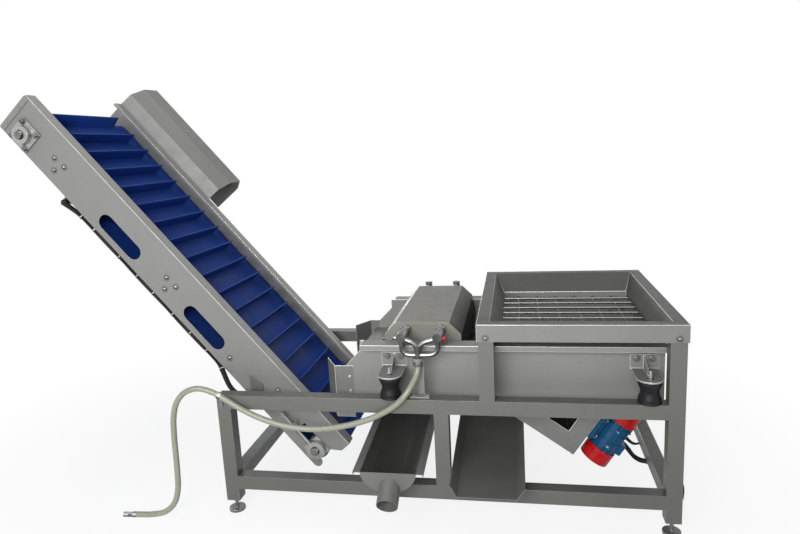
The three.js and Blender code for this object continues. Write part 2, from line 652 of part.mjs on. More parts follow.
const bodyFrom = motor.lowEnd + motor.capLength;
const bodyTo = bodyFrom + motor.bodyLength;
const feetFrom = bodyFrom + motor.feetIn;
const feetTo = bodyTo - motor.feetBack;
const boxFrom = bodyFrom + motor.boxIn;
const boxTo = boxFrom + motor.boxLength;
function vibrationMotor(label, y) {
  const end = bodyTo + motor.capLength;
  const tubeAlong = (from, to, radius, sides = fineSides) =>
    rod(armPoint(from, motor.axisOffset, y), armPoint(to, motor.axisOffset, y), radius, sides);
  const ribs = [];
  for (let i = 0; i < motor.ribCount; i += 1) {
    const share = i / (motor.ribCount - 1);
    const a = bodyFrom + motor.ribEndGap + share * (motor.bodyLength - 2 * motor.ribEndGap);
    ribs.push(tubeAlong(a - motor.ribWidth / 2, a + motor.ribWidth / 2,
      motor.bodyRadius + motor.ribHeight, motor.ribSides));
  }
  const boxOut = motor.axisOffset + motor.bodyRadius;
  const footBolts = [];
  for (const a of [feetFrom + motor.footBoltIn, feetTo - motor.footBoltBack]) {
    for (const side of [-1, 1]) {
      const boltY = y + side * (motor.feetWidth / 2 - motor.boltIn);
      footBolts.push(rod(armPoint(a, motor.feetHeight - bite, boltY),
        armPoint(a, motor.footBoltOut, boltY), motor.footBoltRadius, hexSides));
    }
  }
  const lugs = [];
  for (const [a0, a1] of [[bodyFrom, bodyFrom + motor.lugLength], [bodyTo - motor.lugLength, bodyTo]]) {
    for (const [dOut, dy] of [[motor.bodyRadius, 0], [0, motor.bodyRadius], [0, -motor.bodyRadius]]) {
      lugs.push(rod(armPoint(a0, motor.axisOffset + dOut, y + dy),
        armPoint(a1, motor.axisOffset + dOut, y + dy), motor.lugRadius, hexSides));
    }
  }
  piece(`motor_${label}_body`, blueEnamel, [
    tubeAlong(bodyFrom, bodyTo, motor.bodyRadius, motor.ribSides),
    ...ribs,
    ...lugs,
    ...footBolts,
    armBox(feetFrom, feetTo, y - motor.feetWidth / 2, y + motor.feetWidth / 2,
      motor.gap, motor.feetHeight),
    armBox(feetFrom, feetTo, y - motor.bodyRadius / 2, y + motor.bodyRadius / 2,
      motor.feetHeight - bite, motor.axisOffset - motor.bodyRadius / 2),
    armBox(boxFrom, boxTo, y - motor.boxWidth / 2, y + motor.boxWidth / 2,
      boxOut - motor.boxSunk, boxOut + motor.boxHeight),
  ], [
    tubeAlong(bodyFrom + motor.shield, bodyTo - motor.shield, motor.bodyRadius - motor.shell),
    tubeAlong(bodyFrom - bite, bodyTo + bite,
      (motor.shaftRadius + runningFit) / Math.cos(Math.PI / arcSides), arcSides),
  ]);

  const cup = (from, to, closedFrom, closedTo) => piece(
    `motor_${label}_${closedFrom < closedTo ? 'lower' : 'upper'}_cap`, redEnamel,
    [tubeAlong(from, to, motor.capRadius)],
    [tubeAlong(closedFrom, closedTo, motor.capRadius - motor.capShell)],
  );
  cup(motor.lowEnd, bodyFrom - motor.gap, motor.lowEnd + motor.capShell, bodyFrom + bite);
  cup(bodyTo + motor.gap, end, end - motor.capShell, bodyTo - bite);

  // Half-disc weights at both shaft ends, hanging at rest
  const weightOutline = [[motor.weightRadius, -motor.shaftRadius]];
  for (let i = 0; i <= arcSides; i += 1) {
    const angle = (i / arcSides) * Math.PI;
    weightOutline.push([motor.weightRadius * Math.cos(angle), motor.weightRadius * Math.sin(angle)]);
  }
  weightOutline.push([-motor.weightRadius, -motor.shaftRadius]);
  const axisStart = armPoint(0, motor.axisOffset, y);
  const acrossMotor = new THREE.Matrix4().makeBasis(unitY, armOut, armUp).setPosition(axisStart);
  const weightStarts = [motor.lowEnd + motor.weightIn, end - motor.weightIn - motor.weightLength];
  const weights = weightStarts.map((from) =>
    extrude(acrossMotor, weightOutline, from, from + motor.weightLength));
  piece(`motor_${label}_rotor`, castGrey, [
    tubeAlong(motor.lowEnd + motor.shaftIn, end - motor.shaftIn, motor.shaftRadius, arcSides),
    tubeAlong(bodyFrom + motor.coreIn, bodyTo - motor.coreIn, motor.coreRadius),
    ...weights,
  ]);
}
vibrationMotor('front', motor.y);
vibrationMotor('rear', frameDepth - motor.y);

// Rubber springs on the top rails and the brackets bolted to the tray above them
const springProfile = [
  [0, topRailTop], [spring.radius, topRailTop], [spring.radius, topRailTop + spring.plate],
  [spring.radius - spring.neck, topRailTop + spring.plate],
  [spring.radius - spring.neck / 2, topRailTop + spring.lowBulge],
  [spring.radius - spring.taper, topRailTop + spring.lowTaper],
  [spring.waist, topRailTop + spring.waistFrom], [spring.waist, topRailTop + spring.waistTo],
  [spring.radius - spring.taper, spring.top - spring.highTaper],
  [spring.radius + spring.neck / 2, spring.top - spring.highBulge],
  [spring.radius, spring.top - spring.plate], [spring.radius, spring.top], [0, spring.top],
];
function springStation(label, x, atBack) {
  const place = atBack ? mirrorY : (geometry) => geometry;
  const y = atBack ? frameDepth - spring.y : spring.y;
  piece(`rubber_spring_${label}`, blackRubber, [lathe(springProfile, x, y, spring.sides)]);

  const noseHalf = bracket.halfWidth - bracket.noseIn;
  const nose = [[x + noseHalf, tray.wallY], [x - noseHalf, tray.wallY]];
  for (let i = 0; i <= bracket.noseSides; i += 1) {
    const angle = Math.PI + (i / bracket.noseSides) * Math.PI;
    nose.push([
      x + bracket.noseRadius * Math.cos(angle), spring.y + bracket.noseRadius * Math.sin(angle),
    ]);
  }
  const legFront = tray.wallY - bracket.leg;
  const shelfZ = spring.top + bracket.shelf;
  const gussetY = legFront - bracket.gussetReach;
  const gusset = [
    [legFront + bite, bracket.legTop - bracket.gussetDrop], [legFront + bite, shelfZ - bite],
    [gussetY, shelfZ - bite], [gussetY, shelfZ + bracket.gussetTip],
  ];
  const bolts = [-bracket.boltX, bracket.boltX].map((dx) => rod(
    at(x + dx, legFront + bite, bracket.boltZ),
    at(x + dx, legFront - bracket.boltHeight, bracket.boltZ), bracket.boltRadius, hexSides));
  piece(`spring_bracket_${label}`, steel, [
    extrude(planView, nose, spring.top, shelfZ),
    box(x - bracket.halfWidth, x + bracket.halfWidth, legFront, tray.wallY, spring.top,
      bracket.legTop),
    extrude(endView, gusset, x - bracket.gusset / 2, x + bracket.gusset / 2),
    ...bolts,
  ].map(place));
}
springStation('front_left', spring.leftX, false);
springStation('front_right', spring.rightX, false);
springStation('rear_left', spring.leftX, true);
springStation('rear_right', spring.rightX, true);

// Spray hood: five-sided sheet cover with closed ends, open below
const hoodOutline = [
  [hood.left, hood.bottom], [hood.right, hood.bottom], [hood.right, hood.shoulder],
  [hood.topRight, hood.top], [hood.topLeft, hood.top], [hood.left, hood.shoulder],
];
const t = hood.sheet;
const cornerIn = t / 2;
const hoodInside = [
  [hood.left + t, hood.bottom - bite], [hood.right - t, hood.bottom - bite],
  [hood.right - t, hood.shoulder - cornerIn], [hood.topRight - cornerIn, hood.top - t],
  [hood.topLeft + cornerIn, hood.top - t], [hood.left + t, hood.shoulder - cornerIn],
];
const barHoles = [sprayBar.leftX, sprayBar.rightX].map((x) => rod(
  at(x, 0, sprayBar.z), at(x, frameDepth, sprayBar.z), sprayBar.radius + sprayBar.gap, sprayBar.sides));
piece('spray_hood', hoodSteel, [sidePlate(hoodOutline, hood.front, hood.back)],
  [sidePlate(hoodInside, hood.front + t, hood.back - t), ...barHoles]);

const curtainTop = hood.shoulder - curtain.below;
const curtainFront = hood.front + curtain.sideIn;
const curtainBack = hood.back - curtain.sideIn;
const curtainLine = curtain.hangShares.map(([out, down]) => [
  hood.right + out * curtain.bulge, curtainTop - down * curtain.drop,
]);
const slitCuts = [];
for (let i = 1; i <= curtain.slits; i += 1) {
  const y = curtainFront + (i / (curtain.slits + 1)) * (curtainBack - curtainFront);
  slitCuts.push(box(hood.right, hood.right + tube, y, y + curtain.slitWidth,
    tray.ledgeTop, curtainTop - curtain.slitDrop));
}
piece('hood_curtain', blackRubber,
  [sidePlate(strip(curtainLine, curtain.thickness), curtainFront, curtainBack)], slitCuts);

const frontNutY = hood.front - sprayBar.gap;
const backNutY = hood.back + sprayBar.gap;
function bar(label, x) {
  const parts = [
    rod(at(x, sprayBar.front, sprayBar.z), at(x, hood.back + sprayBar.backOut, sprayBar.z),
      sprayBar.radius, sprayBar.sides),
    rod(at(x, frontNutY - sprayBar.frontNutWidth, sprayBar.z), at(x, frontNutY, sprayBar.z),
      sprayBar.frontNutRadius, hexSides),
    rod(at(x, backNutY, sprayBar.z), at(x, backNutY + sprayBar.backNutWidth, sprayBar.z),
      sprayBar.backNutRadius, hexSides),
  ];
  for (let i = 0; i < sprayBar.nozzles; i += 1) {
    const y = hood.front + tube + (i / (sprayBar.nozzles - 1)) * (hood.back - hood.front - 2 * tube);
    parts.push(rod(at(x, y, sprayBar.z - sprayBar.radius / 2),
      at(x, y, sprayBar.z - sprayBar.nozzleDrop), sprayBar.nozzleTop, hexSides,
      sprayBar.nozzleTip));
  }
  piece(`spray_bar_${label}`, brightSteel, parts);
}
bar('left', sprayBar.leftX);
bar('right', sprayBar.rightX);

// Inlet manifold: one riser and two pairs of bent branches to the bar inlets
const valveZ = sprayBar.z - manifold.valveDrop;
const branch = (shares, toX, fromZ, toZ) => sweep(shares.map(([over, up]) => at(
  manifold.x + over * (toX - manifold.x), manifold.y, fromZ + up * (toZ - fromZ),
)), manifold.branchRadius, manifold.sides, manifold.stepLength);
const branchPair = (toX) => [
  branch(manifold.upperBendShares, toX, manifold.upperFrom, valveZ),
  branch(manifold.lowerBendShares, toX, manifold.lowerFrom, sprayBar.z),
];
const inletBody = (x) => rod(at(x, manifold.bodyFront, sprayBar.z),
  at(x, sprayBar.front, sprayBar.z), manifold.bodyRadius, arcSides);
piece('water_manifold', brightSteel, [
  rod(at(manifold.x, manifold.y, manifold.bottom), at(manifold.x, manifold.y, manifold.top),
    manifold.radius, arcSides),
  ...branchPair(sprayBar.leftX),
  ...branchPair(sprayBar.rightX),
  inletBody(sprayBar.leftX),
  inletBody(sprayBar.rightX),
]);

function butterflyHandle(name, x, side, finish) {
  const start = x + side * (manifold.bodyRadius + handle.gap);
  const end = start + side * handle.hubLength;
  const wingNear = Math.min(end, end - side * handle.wingThickness);
  piece(name, finish, [
    rod(at(start, manifold.y, valveZ), at(end, manifold.y, valveZ), handle.hubRadius, arcSides),
    box(wingNear, wingNear + handle.wingThickness, manifold.y - handle.wingLength / 2,
      manifold.y + handle.wingLength / 2, valveZ - handle.wingWidth / 2,
      valveZ + handle.wingWidth / 2),
  ]);
}
butterflyHandle('valve_handle_left', sprayBar.leftX, -1, brightSteel);
butterflyHandle('valve_handle_right', sprayBar.rightX, 1, redEnamel);

// Stays that carry the manifold at the front and the spray bars at the back
const stayFront = manifold.y + stay.behindRiser;
const ringOuter = manifold.radius + stay.gap + stay.ringWall;
const stayX = manifold.x + stay.besideRiser;
const stayLeft = stayX - stay.width / 2;
const stayRight = stayX + stay.width / 2;
const stayFootTop = topRailTop + stay.footHeight;
const stayFootBolts = (y) => [-1, 1].map((side) => {
  const x = stayX + side * (stay.foot / 2 - stay.boltIn);
  return rod(at(x, y, stayFootTop - bite), at(x, y, stayFootTop + stay.boltHeight), stay.boltRadius,
    hexSides);
});
piece('front_stay', steel, [
  box(stayX - stay.foot / 2, stayX + stay.foot / 2, stayFront + stay.thickness - stay.footDepth,
    stayFront + stay.thickness, topRailTop, stayFootTop),
  box(stayLeft, stayRight, stayFront, stayFront + stay.thickness, topRailTop, stay.top),
  rod(at(manifold.x, manifold.y, stay.ringFrom), at(manifold.x, manifold.y, stay.ringTo),
    ringOuter, fineSides),
  ...stayFootBolts(stay.boltY),
], [rod(at(manifold.x, manifold.y, stay.ringFrom - bite),
  at(manifold.x, manifold.y, stay.ringTo + bite), manifold.radius + stay.gap, arcSides)]);

const rearUprightY = frameDepth - rearStay.fromLegs;
const earY = hood.back + rearStay.earGap;
const shelfTop = rearStay.shelf + stay.thickness;
const rearLeft = stayX - rearStay.width / 2;
const rearRight = stayX + rearStay.width / 2;
const earBolts = [-rearStay.earBoltX, rearStay.earBoltX].map((dx) => rod(
  at(stayX + dx, earY + stay.thickness - bite, rearStay.earBoltZ),
  at(stayX + dx, earY + stay.thickness + stay.boltHeight, rearStay.earBoltZ),
  stay.boltRadius, hexSides));
piece('rear_stay', steel, [
  box(stayX - stay.foot / 2, stayX + stay.foot / 2, rearUprightY, rearUprightY + stay.footDepth,
    topRailTop, stayFootTop),
  box(rearLeft, rearRight, rearUprightY, rearUprightY + stay.thickness, topRailTop, shelfTop),
  box(rearLeft, rearRight, earY, rearUprightY + bite, rearStay.shelf, shelfTop),
  box(rearLeft, rearRight, earY, earY + stay.thickness, rearStay.shelf, rearStay.earTop),
  ...stayFootBolts(rearUprightY + rearStay.boltY),
  ...earBolts,
]);

// Feed hose: hangs from the riser in front of the rail, is held at the frame corner
// and drops outside the left leg to its coupling on the floor
const hoseRoute = hoseStops.map(([x, y, z]) => at(x, y, z));
piece('feed_hose', hoseRubber, [sweep(hoseRoute, hose.radius, hose.sides, hose.stepLength)]);

// A round band with its bore, both given by two points on the axis
const bandAdded = (from, to, outer) => rod(from, to, outer, fineSides);
const bandRemoved = (from, to, inner) =>
  rod(from.clone().lerp(to, -1), to.clone().lerp(from, -1), inner, fineSides);
const clampFrom = at(manifold.x, manifold.y, clamp.from);
const clampTo = at(manifold.x, manifold.y, clamp.to);
piece('hose_clamp', brightSteel, [
  bandAdded(clampFrom, clampTo, clamp.outer),
  box(manifold.x + clamp.lugFrom, manifold.x + clamp.lugTo, manifold.y - clamp.lugHalf,
    manifold.y + clamp.lugHalf, clamp.from + bite, clamp.to - bite),
], [bandRemoved(clampFrom, clampTo, clamp.inner)]);

const cornerAxis = at(...clip.lead).normalize();
const clipMiddle = at(...clip.middle);
const clipFrom = clipMiddle.clone().addScaledVector(cornerAxis, -clip.half);
const clipTo = clipMiddle.clone().addScaledVector(cornerAxis, clip.half);
piece('hose_clip', brightSteel, [
  bandAdded(clipFrom, clipTo, clip.outer),
  box(clipMiddle.x - clip.half, clipMiddle.x + clip.half, -clip.tab, 0, clip.tabFrom, clip.tabTo),
], [bandRemoved(clipFrom, clipTo, clip.inner)]);

const hoseEnd = hoseRoute[hoseRoute.length - 1];
const hoseAxis = at(...coupling.lead, 0).normalize();
const along = (distance) => hoseEnd.clone().addScaledVector(hoseAxis, distance);
piece('hose_coupling', brightSteel, [
  rod(along(coupling.gap), along(coupling.sleeveTo), coupling.sleeveRadius, fineSides),
  rod(along(coupling.nutFrom), along(coupling.nutTo), coupling.nutRadius, hexSides),
  rod(along(coupling.spigotFrom), along(coupling.spigotTo), coupling.spigotRadius, fineSides),
], [rod(along(coupling.boreFrom), along(coupling.spigotTo + bite), coupling.boreRadius, arcSides)]);

// Drain trough: round-bottomed channel under the tray, sloping to the front
const troughCentre = (trough.left + trough.right) / 2;
const troughHalf = (trough.right - trough.left) / 2 - trough.lip;
const bowl = (shrink) => {
  const points = [];
  for (let i = 0; i <= trough.arcSteps; i += 1) {
    const angle = Math.PI + (i / trough.arcSteps) * Math.PI;
    points.push([troughCentre + (troughHalf - shrink) * Math.cos(angle),
      trough.lipZ + (trough.depth - shrink) * Math.sin(angle)]);
  }
  return points;
};
const troughOuter = [
  [trough.left, trough.lipZ], [trough.left, trough.lipZ - trough.lipDrop],
  [trough.left + trough.sheet, trough.lipZ - trough.lipDrop],
  [trough.left + trough.sheet, trough.lipZ - trough.sheet],
  [troughCentre - troughHalf, trough.lipZ - trough.sheet],
  ...bowl(0).slice(1, -1),
  [troughCentre + troughHalf, trough.lipZ - trough.sheet],
  [trough.right - trough.sheet, trough.lipZ - trough.sheet],
  [trough.right - trough.sheet, trough.lipZ - trough.lipDrop],
  [trough.right, trough.lipZ - trough.lipDrop], [trough.right, trough.lipZ],
];
const troughInner = bowl(trough.sheet);
troughInner[0][1] += bite;
troughInner[troughInner.length - 1][1] += bite;
const leaned = (geometry) => lean(geometry, trough.slope, trough.front);
const outletAngle = THREE.MathUtils.degToRad(outlet.angle);
const outletPoint = (distance) => at(outlet.x, trough.front - distance * Math.cos(outletAngle),
  outlet.z - distance * Math.sin(outletAngle));
const saddle = (y0, y1, left, right, top) => box(left, right, y0, y1, lowRailTop, top);
piece('drain_trough', steel, [
  leaned(sidePlate(troughOuter, trough.front, trough.back)),
  rod(outletPoint(-outlet.sunk), outletPoint(outlet.reach), outlet.radius, outlet.sides),
  saddle(trough.saddleIn, tube - trough.saddleIn, trough.saddleLeft, trough.saddleRight,
    trough.lipZ - trough.depth + trough.saddleLift),
  saddle(frameDepth - tube + trough.saddleIn, trough.back - trough.saddleIn, trough.saddleLeft,
    trough.saddleRight,
    trough.lipZ - trough.depth + trough.slope * (frameDepth - trough.front) + trough.saddleLift),
], [
  leaned(sidePlate(troughInner, trough.front + trough.sheet, trough.back - trough.sheet)),
  rod(outletPoint(-outlet.boreFrom), outletPoint(outlet.reach + bite),
    outlet.radius - outlet.wall, outlet.sides),
]);

// Discharge chute: flat-bottomed channel beside the trough
const chuteRimLeft = chute.floorLeft - chute.flareLeft;
const chuteRimRight = chute.floorRight + chute.flareRight;
const chuteRimZ = chute.floorZ + chute.wallHeight;
const chuteOuter = [
  [chuteRimLeft, chuteRimZ], [chute.floorLeft, chute.floorZ],
  [chute.floorRight, chute.floorZ], [chuteRimRight, chuteRimZ],
];
const chuteInner = [
  [chuteRimLeft + chute.sheet + bite, chuteRimZ + bite],
  [chute.floorLeft + chute.sheet, chute.floorZ + chute.sheet],
  [chute.floorRight - chute.sheet, chute.floorZ + chute.sheet],
  [chuteRimRight - chute.sheet - bite, chuteRimZ + bite],
];
const chuteSaddleLeft = chute.floorLeft + chute.saddleSideIn;
const chuteSaddleRight = chute.floorRight - chute.saddleSideIn;
const chuteLeaned = (geometry) => lean(geometry, chute.slope, chute.front);
piece('discharge_chute', steel, [
  chuteLeaned(sidePlate(chuteOuter, chute.front, chute.back)),
  saddle(chute.saddleIn, tube - chute.saddleIn, chuteSaddleLeft, chuteSaddleRight,
    chute.floorZ + chute.slope * (chute.saddleIn - chute.front) + chute.saddleLift),
  saddle(frameDepth - tube + chute.saddleIn, chute.back - chute.saddleIn, chuteSaddleLeft,
    chuteSaddleRight,
    chute.floorZ + chute.slope * (frameDepth - tube - chute.front) + chute.saddleLift),
], [chuteLeaned(sidePlate(chuteInner, chute.front - bite, chute.back - chute.sheet))]);

// Infeed guards: strapped to the tray mouth, turning in over the belt edges
const guardLine = strip([
  [guard.strapEnd, tray.wallY], [guard.outerX, tray.wallY], [guard.innerX, guard.innerY],
], guard.sheet);
const guardBolts = [guard.bottom + guard.boltUp, guard.top - guard.boltDown].map((z) => rod(
  at(tray.left + guard.boltIn, tray.wallY - guard.sheet + bite, z),
  at(tray.left + guard.boltIn, tray.wallY - guard.sheet - guard.boltHeight, z),
  guard.boltRadius, hexSides));
const guardBody = [extrude(planView, guardLine, guard.bottom, guard.top), ...guardBolts];
piece('infeed_guard_front', steel, guardBody);
piece('infeed_guard_rear', steel, guardBody.map(mirrorY));

// Elevator side plates: folded edges, slotted web, forked lower end
const halfTurn = (centreS, centreH, radius, start, steps) => {
  const points = [];
  for (let i = 0; i <= steps; i += 1) {
    const angle = start + (i / steps) * Math.PI;
    points.push([centreS + radius * Math.cos(angle), centreH + radius * Math.sin(angle)]);
  }
  return points;
};
const quarter = Math.PI / 2;
const slotRadius = (slots.high - slots.low) / 2;
const slotMiddle = (slots.high + slots.low) / 2;
const roundedSlot = (s0, s1) => [
  ...halfTurn(s0 + slotRadius, slotMiddle, slotRadius, quarter, slots.sides),
  ...halfTurn(s1 - slotRadius, slotMiddle, slotRadius, -quarter, slots.sides),
];
const prongRadius = (fork.low - conveyor.low) / 2;
const webOutline = [
  [conveyor.headEnd, conveyor.low],
  ...halfTurn(fork.prongEnd - prongRadius, conveyor.low + prongRadius, prongRadius, -quarter,
    slots.sides),
  [fork.from, fork.low], [fork.from, fork.high],
  [fork.upperEnd - fork.chamfer, fork.high], [fork.upperEnd, fork.high + fork.chamfer],
  [fork.upperEnd, conveyor.high], [conveyor.headEnd, conveyor.high],
];
const flangeTo = conveyor.nearY + conveyor.flange;
const webTo = conveyor.nearY + conveyor.plate;
const acrossBelt = (s, h, y0, y1, radius, sides) => rod(onBelt(s, y0, h), onBelt(s, y1, h),
  radius, sides);
// A round hole that a shaft of the given radius turns in without touching a facet
const clearHole = (s, radius) => acrossBelt(s, 0, 0, frameDepth + tube,
  (radius + runningFit) / Math.cos(Math.PI / fineSides), fineSides);
const keyRadius = Math.hypot(shaftKey.width / 2, shaftRadius + shaftKey.height);
const alongPlate = (share) =>
  conveyor.headEnd + share * (conveyor.tailEnd - conveyor.headEnd);
const upPlate = (share) => conveyor.low + share * (conveyor.high - conveyor.low);
const plateBolts = plateBolt.placeShares.map(([over, up]) => acrossBelt(alongPlate(over),
  upPlate(up), conveyor.nearY + bite, conveyor.nearY - plateBolt.height, plateBolt.radius,
  hexSides));
const strapY = conveyor.nearY - endStrap.thickness;
const strapBoltS = conveyor.headEnd + endStrap.width / 2;
const strapBolts = endStrap.boltShares.map((up) => acrossBelt(strapBoltS,
  endStrap.low + up * (endStrap.high - endStrap.low), strapY + bite,
  strapY - endStrap.boltHeight, endStrap.boltRadius, hexSides));
const sideSheet = [
  beltPlate(webOutline, conveyor.nearY, webTo, slots.rangeShares.map(([from, to]) =>
    roundedSlot(alongPlate(from), alongPlate(to)))),
  beltBox(conveyor.headEnd, fork.upperEnd, conveyor.nearY, flangeTo,
    conveyor.high - conveyor.plate, conveyor.high),
  beltBox(conveyor.headEnd, fork.upperEnd - fork.chamfer, flangeTo - conveyor.plate, flangeTo,
    conveyor.high - conveyor.lipDepth, conveyor.high),
  beltBox(conveyor.headEnd, fork.from, conveyor.nearY, conveyor.nearY + conveyor.lowFlange,
    conveyor.low, conveyor.low + conveyor.plate),
  beltBox(takeUp.bracketFrom, takeUp.bracketTo, conveyor.nearY - takeUp.bracketOut,
    conveyor.nearY + bite, fork.low, takeUp.bracketHigh),
  ...plateBolts,
];
const strapParts = [
  beltBox(conveyor.headEnd, conveyor.headEnd + endStrap.width, strapY, conveyor.nearY + bite,
    endStrap.low, endStrap.high),
  ...strapBolts,
];
const screwY = conveyor.nearY - takeUp.screwOut;
const sheetCuts = [
  clearHole(conveyor.headS, keyRadius + bite),
  rod(onBelt(takeUp.bracketFrom - bite, screwY, 0), onBelt(takeUp.bracketTo + bite, screwY, 0),
    takeUp.screwRadius + bite, arcSides),
];
piece('elevator_side_near', steel, [...sideSheet, ...strapParts], sheetCuts);
piece('elevator_side_far', steel, sideSheet.map(mirrorY), sheetCuts.map(mirrorY));

// Belt nearly as wide as the plates allow, with moulded cleats around both drums
const beltNear = webTo + belt.edgeGap;
const beltFar = frameDepth - beltNear;
const cleatFar = frameDepth - belt.cleatY;
const beltLoop = (radius) => [
  ...halfTurn(conveyor.tailS, 0, radius, -quarter, belt.arcSteps),
  ...halfTurn(conveyor.headS, 0, radius, quarter, belt.arcSteps),
];
const straight = conveyor.tailS - conveyor.headS;
const bend = Math.PI * belt.outer;
const loopLength = 2 * (straight + bend);
function cleat(position) {
  const travelled = ((position % loopLength) + loopLength) % loopLength;
  let root;
  let turn;
  if (travelled < straight) {
    root = [conveyor.headS + travelled, belt.outer];
    turn = quarter;
  } else if (travelled < straight + bend) {
    turn = quarter - (travelled - straight) / belt.outer;
    root = [conveyor.tailS + belt.outer * Math.cos(turn), belt.outer * Math.sin(turn)];
  } else if (travelled < 2 * straight + bend) {
    root = [conveyor.tailS - (travelled - straight - bend), -belt.outer];
    turn = -quarter;
  } else {
    turn = -quarter - (travelled - 2 * straight - bend) / belt.outer;
    root = [conveyor.headS + belt.outer * Math.cos(turn), belt.outer * Math.sin(turn)];
  }
  const out = [Math.cos(turn), Math.sin(turn)];
  const side = [-out[1] * belt.cleatThickness / 2, out[0] * belt.cleatThickness / 2];
  const low = [root[0] - out[0] * belt.sunk, root[1] - out[1] * belt.sunk];
  const high = [root[0] + out[0] * belt.cleatHeight, root[1] + out[1] * belt.cleatHeight];
  return beltPlate([
    [low[0] - side[0], low[1] - side[1]], [high[0] - side[0], high[1] - side[1]],
    [high[0] + side[0], high[1] + side[1]], [low[0] + side[0], low[1] + side[1]],
  ], belt.cleatY, cleatFar);
}
const beltParts = [beltPlate(beltLoop(belt.outer), beltNear, beltFar,
  [beltLoop(belt.outer - belt.thickness).reverse()])];
const cleatPitch = loopLength / belt.cleats;
for (let i = 0; i < belt.cleats; i += 1) {
  beltParts.push(cleat(belt.firstCleat - conveyor.headS + i * cleatPitch));
}
piece('elevator_belt', blueBelt, beltParts);

// Slider bed under the carrying run, on round cross ties between the side plates
const bedTop = belt.outer - belt.thickness - bed.gap;
const bedNear = webTo + bed.edgeGap;
const bedWebNear = bedNear + bed.webIn;
const bedParts = [
  beltBox(bed.from, bed.to, bedNear, frameDepth - bedNear, bedTop - bed.thickness, bedTop),
];
for (const share of bed.tieShares) {
  const s = alongPlate(share);
  bedParts.push(acrossBelt(s, 0, webTo, frameDepth - webTo, bed.tieRadius, bed.tieSides));
  bedParts.push(beltBox(s - bed.webThickness / 2, s + bed.webThickness / 2, bedWebNear,
    frameDepth - bedWebNear, 0, bedTop - bite));
}
piece('slider_bed', steel, bedParts);

// Drums with their shafts
const drumNear = bedNear;
function drum(name, s, near, far) {
  piece(name, brightSteel, [
    acrossBelt(s, 0, drumNear, frameDepth - drumNear, drumRadius, fineSides),
    acrossBelt(s, 0, near, far, shaftRadius, arcSides),
    beltBox(s - shaftKey.width / 2, s + shaftKey.width / 2, near + shaftKey.from,
      near + shaftKey.to, 0, shaftRadius + shaftKey.height),
  ]);
}
const gearNear = farFace + gearmotor.boxOut;
const gearFar = gearNear + gearmotor.boxDepth;
const tailShaftOut = takeUp.hubOut + headBearing.shaftOut;
drum('head_drum', conveyor.headS, conveyor.nearY - headBearing.hubOut - headBearing.shaftOut,
  gearFar + headBearing.shaftOut / 2);
drum('tail_drum', conveyor.tailS, conveyor.nearY - tailShaftOut, farFace + tailShaftOut);

// Flange bearings at the head
function headBearingParts() {
  const parts = [
    beltBox(conveyor.headS - headBearing.half, conveyor.headS + headBearing.half,
      conveyor.nearY - headBearing.plate, conveyor.nearY, -headBearing.half, headBearing.half),
    rod(onBelt(conveyor.headS, conveyor.nearY - bite, 0),
      onBelt(conveyor.headS, conveyor.nearY - headBearing.hubOut, 0),
      headBearing.hubRadius + headBearing.hubFlare, fineSides, headBearing.hubRadius),
  ];
  const reach = headBearing.half - headBearing.boltInset;
  const plateY = conveyor.nearY - headBearing.plate;
  for (const ds of [-reach, reach]) {
    for (const dh of [-reach, reach]) {
      parts.push(acrossBelt(conveyor.headS + ds, dh, plateY + bite,
        plateY - headBearing.boltHeight, headBearing.boltRadius, hexSides));
    }
  }
  return parts;
}
const headBore = clearHole(conveyor.headS, keyRadius);
piece('head_bearing_near', castGrey, headBearingParts(), [headBore]);
piece('head_bearing_far', castGrey, headBearingParts().map(mirrorY), [headBore]);

// Take-up units at the tail: bearing, slide block in the fork, tension screw
const takeUpFace = conveyor.nearY - takeUp.gap;
const nutFrom = takeUp.screwEnd + takeUp.nutIn;
const takeUpParts = [
  beltBox(conveyor.tailS - takeUp.plateHalf, conveyor.tailS + takeUp.plateHalf,
    takeUpFace - takeUp.plate, takeUpFace, -takeUp.plateHalf, takeUp.plateHalf),
  beltBox(conveyor.tailS - takeUp.slideHalf, conveyor.tailS + takeUp.slideHalf,
    conveyor.nearY - bite, webTo, fork.low + takeUp.gap, fork.high - takeUp.gap),
  rod(onBelt(conveyor.tailS, takeUpFace - bite, 0),
    onBelt(conveyor.tailS, conveyor.nearY - takeUp.hubOut, 0),
    takeUp.hubRadius, fineSides, takeUp.hubRadius - takeUp.hubTaper),
  rod(onBelt(takeUp.screwEnd, screwY, 0), onBelt(takeUp.screwTo, screwY, 0),
    takeUp.screwRadius, arcSides),
  rod(onBelt(nutFrom, screwY, 0), onBelt(nutFrom + takeUp.nutWidth, screwY, 0),
    takeUp.nutRadius, hexSides),
];
const tailBore = clearHole(conveyor.tailS, keyRadius);
piece('take_up_near', castGrey, takeUpParts, [tailBore]);
piece('take_up_far', castGrey, takeUpParts.map(mirrorY), [tailBore]);

